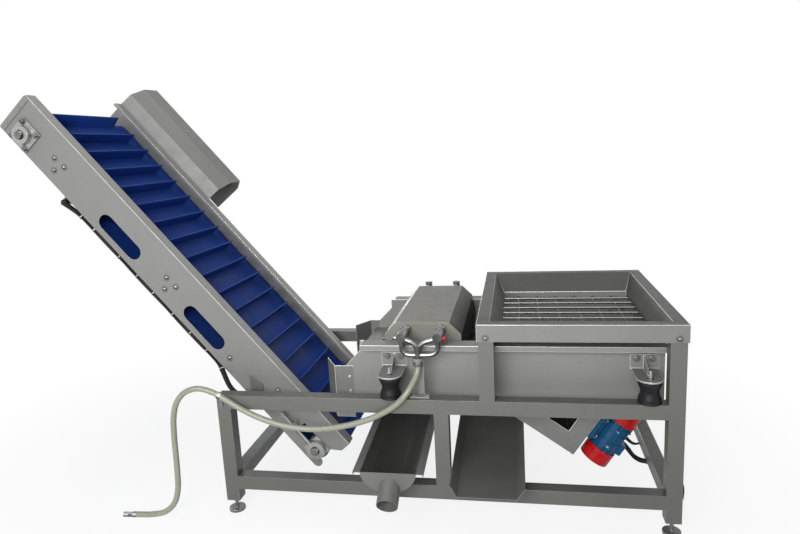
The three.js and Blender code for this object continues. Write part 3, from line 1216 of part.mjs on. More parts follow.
// Drive: shaft-mounted gearbox with its motor along the far side plate
const gearY = (gearNear + gearFar) / 2;
const motorY = farFace + gearmotor.motorOut;
const motorLowY = motorY - gearmotor.motorRadius;
const boxFace = motorLowY - gearmotor.boxReach;
piece('gearmotor', blueEnamel, [
  beltBox(gearmotor.boxFrom, gearmotor.boxTo, gearNear, gearFar, gearmotor.boxLow,
    gearmotor.boxHigh),
  rod(onBelt(gearmotor.boxTo - gearmotor.adapterAfter, motorY, gearmotor.motorH),
    onBelt(gearmotor.motorEnd, motorY, gearmotor.motorH), gearmotor.motorRadius, gearmotor.sides),
  beltBox(gearmotor.boxTo - gearmotor.adapterBefore, gearmotor.boxTo + gearmotor.adapterAfter,
    gearY, motorY + gearmotor.motorRadius, gearmotor.motorH - gearmotor.motorRadius,
    gearmotor.boxHigh + gearmotor.adapterHigh),
  rod(onBelt(gearmotor.motorEnd - bite, motorY, gearmotor.motorH),
    onBelt(gearmotor.motorEnd + gearmotor.fanLength, motorY, gearmotor.motorH),
    gearmotor.fanRadius, gearmotor.sides),
  beltBox(gearmotor.boxTo - gearmotor.adapterAfter, gearmotor.armTo, gearNear,
    gearNear + gearmotor.armThickness, gearmotor.armLow, gearmotor.armHigh),
  beltBox(gearmotor.armFrom, gearmotor.armTo, farFace, gearNear + bite, gearmotor.lugLow,
    gearmotor.lugHigh),
  beltBox(gearmotor.boxS - gearmotor.boxHalf, gearmotor.boxS + gearmotor.boxHalf, boxFace,
    motorY, gearmotor.motorH - gearmotor.boxHalf, gearmotor.motorH + gearmotor.boxHalf),
], [clearHole(conveyor.headS, shaftRadius)]);

const coverLine = cover.outlineShares.map(([out, up]) => [
  farFace + out * cover.reach, cover.seat + up * cover.rise,
]);
const coverSkin = strip([...coverLine].reverse(), cover.sheet);
piece('drive_cover', steel, [
  extrude(beltEndView, coverSkin, cover.from, cover.to),
  extrude(beltEndView, coverLine, cover.from, cover.from + cover.sheet),
]);

// Conduit that takes the cables across under the belt, hung from both lower flanges
const tabTop = conveyor.low - conduit.gap;
const flangeMiddle = conveyor.nearY + conveyor.lowFlange / 2;
const hanger = [
  beltBox(conduit.s - conduit.halfWidth, conduit.s + conduit.halfWidth, conduit.end,
    conduit.end + conduit.plate, conduit.h - conduit.radius, tabTop),
  beltBox(conduit.s - conduit.halfWidth, conduit.s + conduit.halfWidth, conduit.tabFrom,
    conduit.end + bite, tabTop - conduit.tab, tabTop),
  rod(onBelt(conduit.s, flangeMiddle, tabTop - bite),
    onBelt(conduit.s, flangeMiddle, tabTop - conduit.tab - conduit.boltHeight),
    conduit.boltRadius, hexSides),
];
const conduitTube = (radius, beyond) => acrossBelt(conduit.s, conduit.h, conduit.end - beyond,
  frameDepth - conduit.end + beyond, radius, conduit.sides);
piece('cable_conduit', steel, [conduitTube(conduit.radius, 0), ...hanger, ...hanger.map(mirrorY)],
  [conduitTube(conduit.radius - conduit.wall, bite)]);

// Black cable bundle: gearmotor, down the far plate, through the conduit, along the
// near plate's lower edge, behind the front top rail, down the right leg and under
// the right rail to the two vibration motors
const edgeH = conveyor.low - cable.radius - cable.underEdge;
const edgeY = conveyor.nearY + cable.radius + cable.besideEdge;
const railY = tube + cable.radius + bite;
const railZ = topRailTop - cable.railDrop;
const underRail = lowRailTop - tube - cable.radius - cable.besideEdge;
const behindLegX = frameLength - tube / 2;
const boxMiddle = (boxFrom + boxTo) / 2;
const boxSideOut = motor.axisOffset + motor.bodyRadius + motor.boxHeight / 2;
const boxEdge = motor.boxWidth / 2 + cable.gap;
function cableToMotor(y, side) {
  const entry = armPoint(boxMiddle, boxSideOut, y + side * boxEdge);
  return cableTail.map(([over, up, beside]) => at(
    behindLegX + over * (entry.x - behindLegX),
    entry.y + side * beside,
    underRail + up * (entry.z - underRail),
  ));
}
const insideConduit = [
  frameDepth - conduit.end, frameDepth - conduit.end - conduit.inside, middleY,
  conduit.end + conduit.inside, conduit.end,
];
const backFromLegs = ([back, out, z]) => at(frameLength - back, railY + out, z);
const cableRoute = [
  onBelt(gearmotor.boxS, boxFace - cable.gap, cableDescent[0][2]),
  ...cableDescent.map(([s, out, h]) => onBelt(s, farFace + out, h)),
  ...insideConduit.map((y) => onBelt(conduit.s, y, conduit.h)),
  ...cableEmerging.map(([s, y, h]) => onBelt(s, y, h)),
  ...cable.edgeStops.map((s) => onBelt(s, edgeY, edgeH)),
  ...cableBridge.map(([x, y, z]) => at(x, y, z)),
  ...cable.railStops.map((share) => at(share * frameLength, railY, railZ)),
  ...cableCorner.map(backFromLegs),
  ...cable.crossStops.map((share) => at(behindLegX, share * frameDepth, underRail)),
  ...cableToMotor(motor.y, 1),
];
const rearCableRoute = [
  ...cable.branchStops.map((share) => at(behindLegX, share * frameDepth, underRail)),
  ...cableToMotor(frameDepth - motor.y, -1),
];
piece('cable_bundle', blackRubber, [
  sweep(cableRoute, cable.radius, cable.sides, cable.stepLength),
  sweep(rearCableRoute, cable.radius - cable.branchThinner, cable.sides,
    cable.branchStepLength),
]);

// Set the machine down with the middle of its outline over the origin
const reach = new THREE.Box3().setFromObject(machine);
const middleOfMachine = reach.getCenter(new THREE.Vector3());
for (const mesh of machine.children) {
  mesh.geometry.translate(-middleOfMachine.x, -middleOfMachine.y, -reach.min.z);
}

export default machine;
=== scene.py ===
import json
import math

import bmesh
import bpy
from mathutils import Matrix, Vector

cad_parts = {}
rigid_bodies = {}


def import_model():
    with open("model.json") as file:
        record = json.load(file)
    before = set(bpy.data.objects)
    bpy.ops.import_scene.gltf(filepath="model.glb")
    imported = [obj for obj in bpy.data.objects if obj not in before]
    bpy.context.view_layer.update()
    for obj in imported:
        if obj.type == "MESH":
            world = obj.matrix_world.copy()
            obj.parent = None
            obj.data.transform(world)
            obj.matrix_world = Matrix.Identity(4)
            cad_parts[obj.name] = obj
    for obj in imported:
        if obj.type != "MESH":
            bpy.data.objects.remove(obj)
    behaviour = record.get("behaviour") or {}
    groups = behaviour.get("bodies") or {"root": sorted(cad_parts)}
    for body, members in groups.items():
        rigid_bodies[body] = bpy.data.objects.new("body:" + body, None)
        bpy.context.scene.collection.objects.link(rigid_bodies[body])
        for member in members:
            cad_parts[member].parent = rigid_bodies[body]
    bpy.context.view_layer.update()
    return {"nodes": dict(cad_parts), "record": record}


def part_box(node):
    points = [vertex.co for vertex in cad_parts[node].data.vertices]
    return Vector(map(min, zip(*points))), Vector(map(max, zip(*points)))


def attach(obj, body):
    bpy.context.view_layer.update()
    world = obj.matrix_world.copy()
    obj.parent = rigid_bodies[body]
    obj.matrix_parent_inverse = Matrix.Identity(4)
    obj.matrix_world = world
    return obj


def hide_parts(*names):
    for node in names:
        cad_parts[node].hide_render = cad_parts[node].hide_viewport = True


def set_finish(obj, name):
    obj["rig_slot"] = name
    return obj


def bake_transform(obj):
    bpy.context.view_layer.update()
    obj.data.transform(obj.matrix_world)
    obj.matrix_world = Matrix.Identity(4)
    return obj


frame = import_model()
NODES = frame["nodes"]
SCENE = bpy.context.scene
SCENE.view_settings.view_transform = "Standard"

# Places are written in metres from the outer front corner of the left front leg, at
# floor level: x along the machine to the hopper, y away from the operator, z up
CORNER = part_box("front_side_frame")[0]
ORIGIN = Vector((CORNER.x, CORNER.y, 0))
FRAME_LENGTH = 1.900
FRAME_DEPTH = 1.020
FRAME_TUBE = 0.060
RAIL_TOP = 0.550
TO_THE_RIGHT = Vector((1, 0, 0))
TOWARD_FRONT = Vector((0, -1, 0))
TOWARD_BACK = Vector((0, 1, 0))
UPWARD = Vector((0, 0, 1))


def at(x, y, z):
    return ORIGIN + Vector((x, y, z))


# Lengths on the elevator use s, downhill, and h, square to the belt, from the line
# through both drum axes
BELT_SLOPE = math.radians(49.55)
DOWNHILL = Vector((math.cos(BELT_SLOPE), 0, -math.sin(BELT_SLOPE)))
OUTWARD = Vector((math.sin(BELT_SLOPE), 0, math.cos(BELT_SLOPE)))
AXIS_HEIGHT = 0.447
NEAR_PLATE_Y = 0.156
FAR_PLATE_Y = FRAME_DEPTH - NEAR_PLATE_Y


def on_belt(s, y, h):
    return ORIGIN + DOWNHILL * s + OUTWARD * (AXIS_HEIGHT + h) + Vector((0, y, 0))


# Camera, at the photograph's standpoint
CAMERA_PLACE = at(1.2830, -2.3974, 1.5624)
CAMERA_TURN = math.radians(10.627)
CAMERA_PITCH = math.radians(10.718)
CAMERA_ROLL = math.radians(-2.913)
CAMERA_LENS = 28.606
CAMERA_SENSOR = 36.0


def add_camera():
    data = bpy.data.cameras.new("photo_view")
    data.sensor_fit = "HORIZONTAL"
    data.sensor_width = CAMERA_SENSOR
    data.lens = CAMERA_LENS
    camera = bpy.data.objects.new("photo_view", data)
    SCENE.collection.objects.link(camera)
    turn = Matrix.Rotation(CAMERA_TURN, 4, "Z")
    pitch = Matrix.Rotation(math.pi / 2 - CAMERA_PITCH, 4, "X")
    roll = Matrix.Rotation(CAMERA_ROLL, 4, "Z")
    camera.matrix_world = Matrix.Translation(CAMERA_PLACE) @ turn @ pitch @ roll
    SCENE.camera = camera


add_camera()

# Shapes that several pieces are made from
CURVE_STEPS = 24
SMOOTH_BELOW = math.radians(38)


def blended(a, b, at_a, at_b, t):
    """On the line that is at a when t is at_a and at b when t is at_b."""
    return a * ((at_b - t) / (at_b - at_a)) + b * ((t - at_a) / (at_b - at_a))


def smooth_path(points, count):
    """Points evenly spaced along the centripetal curve through the given ones."""
    spots = [Vector(p) for p in points]
    spots = [2 * spots[0] - spots[1]] + spots + [2 * spots[-1] - spots[-2]]
    dense = []
    for i in range(1, len(spots) - 2):
        p0, p1, p2, p3 = spots[i - 1:i + 3]
        t0 = 0
        t1 = t0 + (p1 - p0).length ** 0.5
        t2 = t1 + (p2 - p1).length ** 0.5
        t3 = t2 + (p3 - p2).length ** 0.5
        for k in range(CURVE_STEPS):
            t = t1 + (t2 - t1) * k / CURVE_STEPS
            a1 = blended(p0, p1, t0, t1, t)
            a2 = blended(p1, p2, t1, t2, t)
            a3 = blended(p2, p3, t2, t3, t)
            b1 = blended(a1, a2, t0, t2, t)
            b2 = blended(a2, a3, t1, t3, t)
            dense.append(blended(b1, b2, t1, t2, t))
    dense.append(spots[-2])
    lengths = [0]
    for a, b in zip(dense, dense[1:]):
        lengths.append(lengths[-1] + (b - a).length)
    even = []
    step = 0
    for k in range(count + 1):
        target = lengths[-1] * k / count
        while step < len(lengths) - 2 and lengths[step + 1] < target:
            step += 1
        span = lengths[step + 1] - lengths[step]
        even.append(dense[step].lerp(dense[step + 1], (target - lengths[step]) / span))
    return even


def path_length(path):
    return sum((b - a).length for a, b in zip(path, path[1:]))


def new_piece(name, made, body=None, slot=None, smooth_below=SMOOTH_BELOW):
    """An object of the mesh made, shaded smooth but for edges above the angle."""
    bmesh.ops.recalc_face_normals(made, faces=made.faces)
    for face in made.faces:
        face.smooth = True
    mesh = bpy.data.meshes.new(name)
    made.to_mesh(mesh)
    made.free()
    mesh.set_sharp_from_angle(angle=smooth_below)
    piece = bpy.data.objects.new(name, mesh)
    SCENE.collection.objects.link(piece)
    if body:
        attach(piece, body)
    if slot:
        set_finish(piece, slot)
    return piece


def spoke(side, other, angle):
    """The unit vector at the angle from side to other."""
    return side * math.cos(angle) + other * math.sin(angle)


def frames_along(path):
    """A centre and two unit vectors across the path at each of its points, without twist."""
    rings = []
    side = None
    for i, centre in enumerate(path):
        tangent = (path[min(i + 1, len(path) - 1)] - path[max(i - 1, 0)]).normalized()
        if side is None:
            side = tangent.orthogonal()
        side = (side - tangent * side.dot(tangent)).normalized()
        rings.append((centre, side, tangent.cross(side)))
    return rings


def add_tube(made, path, radius, sides):
    """A closed tube along the path, with round-the-tube and along-the-tube coordinates."""
    layers = made.loops.layers.uv
    layer = layers.get("around_and_along") or layers.new("around_and_along")
    rings = []
    for centre, side, other in frames_along(path):
        rings.append([made.verts.new(centre + spoke(side, other, math.tau * j / sides) * radius)
                      for j in range(sides)])
    travelled = 0
    for i, (low, high) in enumerate(zip(rings, rings[1:])):
        step = (path[i + 1] - path[i]).length
        for j in range(sides):
            k = (j + 1) % sides
            face = made.faces.new((low[j], low[k], high[k], high[j]))
            u0, u1 = j / sides, (j + 1) / sides
            v0, v1 = travelled, travelled + step
            for loop, uv in zip(face.loops, ((u0, v0), (u1, v0), (u1, v1), (u0, v1))):
                loop[layer].uv = uv
        travelled += step
    made.faces.new(rings[0][::-1])
    made.faces.new(rings[-1])


def tube_piece(name, paths, radius, sides, body, slot):
    made = bmesh.new()
    for path in paths:
        add_tube(made, path, radius, sides)
    return new_piece(name, made, body, slot)


def add_lathe(made, profile, base, axis, sides):
    """A turned body: profile of (radius, height) from the base point along the axis."""
    axis = axis.normalized()
    side = axis.orthogonal().normalized()
    other = axis.cross(side)
    rings = []
    for radius, height in profile:
        centre = base + axis * height
        if radius == 0:
            rings.append([made.verts.new(centre)])
            continue
        rings.append([made.verts.new(centre + spoke(side, other, math.tau * j / sides) * radius)
                      for j in range(sides)])
    for low, high in zip(rings, rings[1:]):
        for j in range(sides):
            k = (j + 1) % sides
            corners = (low[j % len(low)], low[k % len(low)],
                       high[k % len(high)], high[j % len(high)])
            made.faces.new(list(dict.fromkeys(corners)))


# Feed hose
HOSE_RADIUS = 0.0125
HOSE_ROUTE = [at(*point) for point in (
    (0.880, 0.042, 0.6992), (0.880, 0.042, 0.682), (0.877, 0.037, 0.660), (0.868, 0.022, 0.634),
    (0.853, 0.002, 0.608), (0.832, -0.014, 0.578), (0.800, -0.020, 0.544), (0.752, -0.021, 0.509),
    (0.686, -0.021, 0.475), (0.604, -0.021, 0.447), (0.520, -0.021, 0.429), (0.436, -0.021, 0.420),
    (0.350, -0.021, 0.424), (0.268, -0.020, 0.440), (0.186, -0.019, 0.467), (0.110, -0.017, 0.504),
    (0.048, -0.016, 0.541), (-0.010, -0.017, 0.573), (-0.070, -0.022, 0.589),
    (-0.126, -0.030, 0.574), (-0.166, -0.038, 0.530), (-0.184, -0.044, 0.468),
    (-0.190, -0.048, 0.390), (-0.192, -0.050, 0.300), (-0.194, -0.052, 0.210),
    (-0.200, -0.055, 0.130), (-0.222, -0.060, 0.066), (-0.268, -0.066, 0.026),
    (-0.330, -0.072, 0.0135), (-0.400, -0.078, 0.0128))]
HOSE_RINGS = 260
HOSE_SIDES = 28

hose_path = smooth_path(HOSE_ROUTE, HOSE_RINGS)
hose = tube_piece("braided_hose", [hose_path], HOSE_RADIUS, HOSE_SIDES, "machine_frame",
                  "pale_hose")
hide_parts("feed_hose")

# Power cables: tied strands that follow the fixed route down the elevator, behind the
# front rail and down the right leg to the motors
STRAND_RADIUS = 0.0047
STRAND_OFFSET = 0.0066
STRANDS = 4
STRAND_SIDES = 10
STRAND_TURN = 0.9
STRAND_RINGS = 420
BRANCH_STRANDS = 2
BRANCH_RINGS = 60
LEG_X = FRAME_LENGTH - FRAME_TUBE / 2
UNDER_RAIL = 0.101
RAIL_BACK = 0.073
FRONT_ENTRY = (1.7128, 0.3408, 0.2186)
CABLE_DESCENT = (
    (-1.640, 0.0572, 0.099), (-1.640, 0.043, 0.099), (-1.632, 0.029, 0.085),
    (-1.612, 0.022, 0.057), (-1.584, 0.020, 0.010), (-1.565, 0.019, -0.030),
    (-1.560, 0.016, -0.062), (-1.560, 0.004, -0.106), (-1.560, -0.022, -0.128),
    (-1.560, -0.056, -0.135))
CABLE_IN_CONDUIT = (0.770, 0.745, 0.510, 0.275, 0.250)
CONDUIT_PLACE = (-1.560, -0.135)
CABLE_EMERGING = (
    (-1.558, 0.226, -0.134), (-1.550, 0.206, -0.127), (-1.528, 0.187, -0.111),
    (-1.488, 0.173, -0.093), (-1.440, 0.169, -0.082))
CABLE_EDGE_STOPS = (-1.380, -1.240, -1.080, -0.960, -0.800, -0.640, -0.520)
CABLE_EDGE = (0.170, -0.079)
CABLE_BRIDGE = (
    (-0.030, 0.146, 0.603), (-0.008, 0.124, 0.578), (0.022, 0.098, 0.550), (0.064, 0.078, 0.528),
    (0.120, 0.074, 0.520))
CABLE_RAIL_SHARES = (0.16, 0.37, 0.58, 0.79, 0.926)
CABLE_RAIL_HEIGHT = 0.518
CABLE_CORNER = (
    (0.074, 0.001, 0.508), (0.040, 0.002, 0.474), (0.030, 0.002, 0.420), (0.030, 0.002, 0.320),
    (0.020, 0.003, 0.250), (-0.004, 0.007, 0.204), (-0.016, 0.011, 0.168), (-0.016, 0.017, 0.128),
    (-0.009, 0.035, 0.098), (0.012, 0.073, 0.100))
CABLE_CROSS_SHARES = (0.2, 0.33)
BRANCH_SHARES = (0.33, 0.47, 0.53)
CABLE_TAIL = (
    (0.115, 0, 0.079), (0.295, 0.01, 0.088), (0.487, 0.18, 0.084), (0.679, 0.55, 0.069),
    (0.833, 0.84, 0.051), (0.936, 0.95, 0.039), (1, 1, 0.017), (1, 1, 0.001))


def cable_to_motor(side):
    """The last stretch: share of the way over, share of the rise, distance beside the entry."""
    x, y, z = FRONT_ENTRY
    y = y if side > 0 else FRAME_DEPTH - y
    return [at(LEG_X + over * (x - LEG_X), y + side * beside, UNDER_RAIL + up * (z - UNDER_RAIL))
            for over, up, beside in CABLE_TAIL]


CABLE_ROUTE = (
    [on_belt(s, FAR_PLATE_Y + out, h) for s, out, h in CABLE_DESCENT]
    + [on_belt(CONDUIT_PLACE[0], y, CONDUIT_PLACE[1]) for y in CABLE_IN_CONDUIT]
    + [on_belt(s, y, h) for s, y, h in CABLE_EMERGING]
    + [on_belt(s, *CABLE_EDGE) for s in CABLE_EDGE_STOPS]
    + [at(x, y, z) for x, y, z in CABLE_BRIDGE]
    + [at(share * FRAME_LENGTH, RAIL_BACK, CABLE_RAIL_HEIGHT) for share in CABLE_RAIL_SHARES]
    + [at(FRAME_LENGTH - back, RAIL_BACK + out, z) for back, out, z in CABLE_CORNER]
    + [at(LEG_X, share * FRAME_DEPTH, UNDER_RAIL) for share in CABLE_CROSS_SHARES]
    + cable_to_motor(1))
BRANCH_ROUTE = (
    [at(LEG_X, share * FRAME_DEPTH, UNDER_RAIL) for share in BRANCH_SHARES]
    + cable_to_motor(-1))


def strand_paths(path, count, offset):
    """Lines that wind slowly round the path."""
    lines = [[] for _ in range(count)]
    travelled = 0
    for i, (centre, side, other) in enumerate(frames_along(path)):
        if i:
            travelled += (centre - path[i - 1]).length
        for k, line in enumerate(lines):
            angle = math.tau * (k / count + STRAND_TURN * travelled)
            line.append(centre + spoke(side, other, angle) * offset)
    return lines


def add_cables(name, paths, body=None):
    return tube_piece(name, paths, STRAND_RADIUS, STRAND_SIDES, body, "black_rubber")


def near_index(path, place):
    return min(range(len(path)), key=lambda i: (path[i] - place).length)


cable_path = smooth_path(CABLE_ROUTE, STRAND_RINGS)
branch_path = smooth_path(BRANCH_ROUTE, BRANCH_RINGS)
cable_lines = strand_paths(cable_path, STRANDS, STRAND_OFFSET)
branch_lines = strand_paths(branch_path, BRANCH_STRANDS, STRAND_RADIUS)
split = near_index(cable_path, CABLE_ROUTE[-len(CABLE_TAIL)])
branch_split = near_index(branch_path, BRANCH_ROUTE[-len(CABLE_TAIL)])
cables = add_cables("cable_strands", [line[:split + 1] for line in cable_lines]
                    + [line[:branch_split + 1] for line in branch_lines], "machine_frame")
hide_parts("cable_bundle")
for name, lines, start, route in (
        ("front_motor_leads", cable_lines, split, CABLE_ROUTE),
        ("rear_motor_leads", branch_lines, branch_split, BRANCH_ROUTE)):
    leads = add_cables(name, [line[start:] for line in lines])
    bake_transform(leads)

# Cable ties where the light ones show on the near plate, and spaced along the rest
TIE_STOPS = (-1.427, -1.341, -1.180, -1.060, -0.959, -0.831, -0.712, -0.605, -0.484)
TIE_SHARES = (0.55, 0.60, 0.66, 0.72, 0.78, 0.84, 0.88, 0.93)
TIE_RADIUS = 0.0122
TIE_WIDTH = 0.0046
TIE_THICKNESS = 0.0013
TIE_SIDES = 20
TIE_HEAD = 0.0042
TIE_HEAD_CHAMFER = TIE_HEAD / 6


def add_tie(made, centre, along, head_way):
    """A strap round the cables with its head turned to head_way."""
    side = head_way - along * head_way.dot(along)
    side.normalize()
    other = along.cross(side)
    section = ((-TIE_WIDTH / 2, 0), (TIE_WIDTH / 2, 0), (TIE_WIDTH / 2, TIE_THICKNESS),
               (-TIE_WIDTH / 2, TIE_THICKNESS))
    rings = []
    for j in range(TIE_SIDES):
        out = spoke(side, other, math.tau * j / TIE_SIDES)
        rings.append([made.verts.new(centre + along * a + out * (TIE_RADIUS + r))
                      for a, r in section])
    for j, ring in enumerate(rings):
        after = rings[(j + 1) % TIE_SIDES]
        for i in range(len(section)):
            k = (i + 1) % len(section)
            made.faces.new((ring[i], ring[k], after[k], after[i]))
    head = Matrix((side, other, along)).transposed().to_4x4()
    head.translation = centre + side * (TIE_RADIUS + TIE_HEAD / 2)
    shape = bmesh.ops.create_cube(made, size=TIE_HEAD, matrix=head)
    bmesh.ops.bevel(made, geom=list({e for v in shape["verts"] for e in v.link_edges}),
                    offset=TIE_HEAD_CHAMFER, segments=1, affect="EDGES")


def add_ties():
    made = bmesh.new()
    spots = [near_index(cable_path, on_belt(s, *CABLE_EDGE)) for s in TIE_STOPS]
    spots += [round(share * STRAND_RINGS) for share in TIE_SHARES]
    for i in spots:
        along = (cable_path[i + 1] - cable_path[i - 1]).normalized()
        add_tie(made, cable_path[i], along, TOWARD_FRONT if i < split / 2 else TOWARD_BACK)
    return new_piece("cable_ties", made, "machine_frame", "pale_hose")


ties = add_ties()

# Rubber springs, turned bodies that stretch between the rail and the tray's bracket
SPRING_TOP = 0.641
SPRING_X = {"left": 0.762, "right": 1.775}
SPRING_Y = {"front": FRAME_TUBE / 2, "rear": FRAME_DEPTH - FRAME_TUBE / 2}
SPRING_PLACES = {f"{end}_{side}": (x, y) for end, y in SPRING_Y.items()
                 for side, x in SPRING_X.items()}
SPRING_PROFILE = (
    (0.0435, 0), (0.0449, 0.0012), (0.0449, 0.0048), (0.0436, 0.0062), (0.0427, 0.0085),
    (0.0436, 0.0125), (0.0437, 0.0170), (0.0418, 0.0230), (0.0388, 0.0300), (0.0362, 0.0370),
    (0.0350, 0.0435), (0.0350, 0.0490), (0.0362, 0.0560), (0.0388, 0.0630), (0.0420, 0.0700),
    (0.0445, 0.0765), (0.0449, 0.0820), (0.0436, 0.0848), (0.0436, 0.0862), (0.0449, 0.0874),
    (0.0449, 0.0900), (0.0437, 0.0910))
SPRING_SIDES = 72
SPRING_SMOOTH_BELOW = math.radians(60)

for label, (x, y) in SPRING_PLACES.items():
    made = bmesh.new()
    outline = [(0, 0), *SPRING_PROFILE, (0, SPRING_TOP - RAIL_TOP)]
    add_lathe(made, outline, at(x, y, RAIL_TOP), UPWARD, SPRING_SIDES)
    spring = new_piece(f"spring_rubber_{label}", made, None, "black_rubber", SPRING_SMOOTH_BELOW)
    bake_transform(spring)
    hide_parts(f"rubber_spring_{label}")

# Curtain of slit rubber on the hood's outlet side: strips joined along the top
CURTAIN_FROM = 0.166
CURTAIN_TO = FRAME_DEPTH - CURTAIN_FROM
CURTAIN_HEIGHT = 0.779
CURTAIN_X = 1.049
CURTAIN_LINE = (
    (0, 0), (0, -0.0212), (0.0080, -0.0473), (0.0120, -0.0791), (0.0090, -0.1174), (0, -0.1630))
CURTAIN_STRIPS = 7
CURTAIN_SLIT = 0.003
CURTAIN_JOINED_SHARE = 0.24
CURTAIN_THICKNESS = 0.0035
CURTAIN_ROWS = 28
CURTAIN_COLUMNS = 5
CURTAIN_LIFT = 0.0022
CURTAIN_FIRST_SWAY = 1
CURTAIN_NEXT_SWAY = 2.4
CURTAIN_JOIN = CURTAIN_SLIT / 10


def add_curtain():
    """Each strip hangs a little differently below the part where all are joined."""
    line = smooth_path([at(CURTAIN_X + x, 0, CURTAIN_HEIGHT + z) for x, z in CURTAIN_LINE],
                       CURTAIN_ROWS)
    made = bmesh.new()
    width = (CURTAIN_TO - CURTAIN_FROM) / CURTAIN_STRIPS
    for strip in range(CURTAIN_STRIPS):
        grid = []
        for row, point in enumerate(line):
            share = row / CURTAIN_ROWS
            free = max(0, (share - CURTAIN_JOINED_SHARE) / (1 - CURTAIN_JOINED_SHARE))
            gap = CURTAIN_SLIT / 2 if free > 0 else 0
            phase = CURTAIN_FIRST_SWAY + CURTAIN_NEXT_SWAY * strip
            sway = CURTAIN_LIFT * free * math.sin(phase)
            row_points = []
            for column in range(CURTAIN_COLUMNS + 1):
                across = column / CURTAIN_COLUMNS
                y = CURTAIN_FROM + strip * width + gap + across * (width - 2 * gap)
                bow = CURTAIN_LIFT * free * math.sin(math.pi * across)
                row_points.append(made.verts.new(point + Vector((sway + bow, y, 0))))
            grid.append(row_points)
        for low, high in zip(grid, grid[1:]):
            for j in range(CURTAIN_COLUMNS):
                made.faces.new((low[j], low[j + 1], high[j + 1], high[j]))
    bmesh.ops.remove_doubles(made, verts=made.verts, dist=CURTAIN_JOIN)
    piece = new_piece("hanging_curtain", made, "machine_frame", "black_rubber")
    thick = piece.modifiers.new("thick", "SOLIDIFY")
    thick.thickness = CURTAIN_THICKNESS
    thick.offset = 0
    return piece, path_length(line)


curtain, curtain_drop = add_curtain()
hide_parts("hood_curtain")

# Bolt heads with washers, over the plain ones of the frame
HEAD_SIDES = 6
ROUND_SIDES = 20
# Profiles in shares of a head's radius and height
HEX_WASHER_SHARES = ((0, 0), (1.38, 0), (1.38, 0.112), (1.3248, 0.16), (0, 0.16))
HEX_HEAD_SHARES = ((0, 0.16), (1, 0.16), (1, 0.92), (0.86, 1.06), (0, 1.06))
DOME_WASHER_SHARES = (1.35, 0.2)
DOME_FLAT_SHARE = 0.42
DOME_STEPS = 4
DOME_SOCKET_SHARES = ((0.40, 1.1), (0.36, 0.6), (0, 0.6))


def add_turned(made, shares, base, axis, radius, height, sides=ROUND_SIDES):
    """A turned body whose profile is scaled by a radius and a height."""
    profile = [(radius * out, height * up) for out, up in shares]
    add_lathe(made, profile, base, axis, sides)


def add_hex_head(made, base, axis, radius, height):
    """A chamfered hexagon head on a washer."""
    add_turned(made, HEX_WASHER_SHARES, base, axis, radius, height)
    add_turned(made, HEX_HEAD_SHARES, base, axis, radius, height, HEAD_SIDES)


def add_dome_head(made, base, axis, radius, height):
    """A round head with a round socket, on a washer."""
    washer_out, washer_up = DOME_WASHER_SHARES
    shares = [(0, 0), (washer_out, 0), (washer_out, washer_up), (1, washer_up)]
    for step in range(1, DOME_STEPS + 1):
        angle = math.pi / 2 * step / DOME_STEPS
        shares.append((DOME_FLAT_SHARE + (1 - DOME_FLAT_SHARE) * math.cos(angle),
                       washer_up + math.sin(angle)))
    add_turned(made, [*shares, *DOME_SOCKET_SHARES], base, axis, radius, height)


# Heads by radius and height
PLATE_BOLT = (0.0078, 0.0062)
BEARING_BOLT = (0.0112, 0.012)
BRACKET_BOLT = (0.0095, 0.009)
MOTOR_BOLT = (0.0095, 0.007)
APRON_SCREW = (0.0066, 0.0046)
STUD_NUT = (0.0105, 0.0095)
# Places on the elevator's side plates and on the bearing at its head
PLATE_ENDS = (-1.960, 0.140)
PLATE_EDGES = (-0.066, 0.133)
PLATE_BOLT_SHARES = (
    (0.132, 0.46), (0.148, 0.25), (0.16, 0.48), (0.477, 0.48), (0.491, 0.25), (0.505, 0.49),
    (0.693, 0.27), (0.814, 0.6))
HEAD_AXIS_S = -1.848
BEARING_BOLT_OFFSET = 0.042
BEARING_FLANGE = 0.012
BEARING_FACE = NEAR_PLATE_Y - BEARING_FLANGE
# The tray's brackets, each with a threaded stud on its shelf
BRACKET_BOLT_OFFSET = 0.029
BRACKET_BOLT_Z = 0.688
BRACKET_FACE = 0.142
SHELF_TOP = 0.647
STUD_RADIUS = 0.006
STUD_CORE_SHARE = 0.86
STUD_HEIGHT = 0.034
STUD_TURNS = 12
STUD_Y = 0.022
# The hopper's front apron
APRON_SCREW_X = (1.157, 1.870)
APRON_SCREW_Z = 0.813
APRON_FACE = -0.006
# Vibration motors on the sloping arm: distances along the arm, out from it and from the
# motor's axis
ARM_ANGLE = math.radians(57)
ARM_TIP = at(1.514, 0, 0.232)
ARM_UP = Vector((math.cos(ARM_ANGLE), 0, math.sin(ARM_ANGLE)))
ARM_OUT = Vector((math.sin(ARM_ANGLE), 0, -math.cos(ARM_ANGLE)))
MOTOR_Y = 0.310
MOTOR_FOOT_BOLTS = (0.105, 0.190)
MOTOR_FOOT_BOLT_OUT = 0.034
MOTOR_FOOT_BOLT_SIDE = 0.066
MOTOR_LUGS = (0.089, 0.177)
MOTOR_LUG_RADIUS = 0.060
MOTOR_AXIS_OUT = 0.106
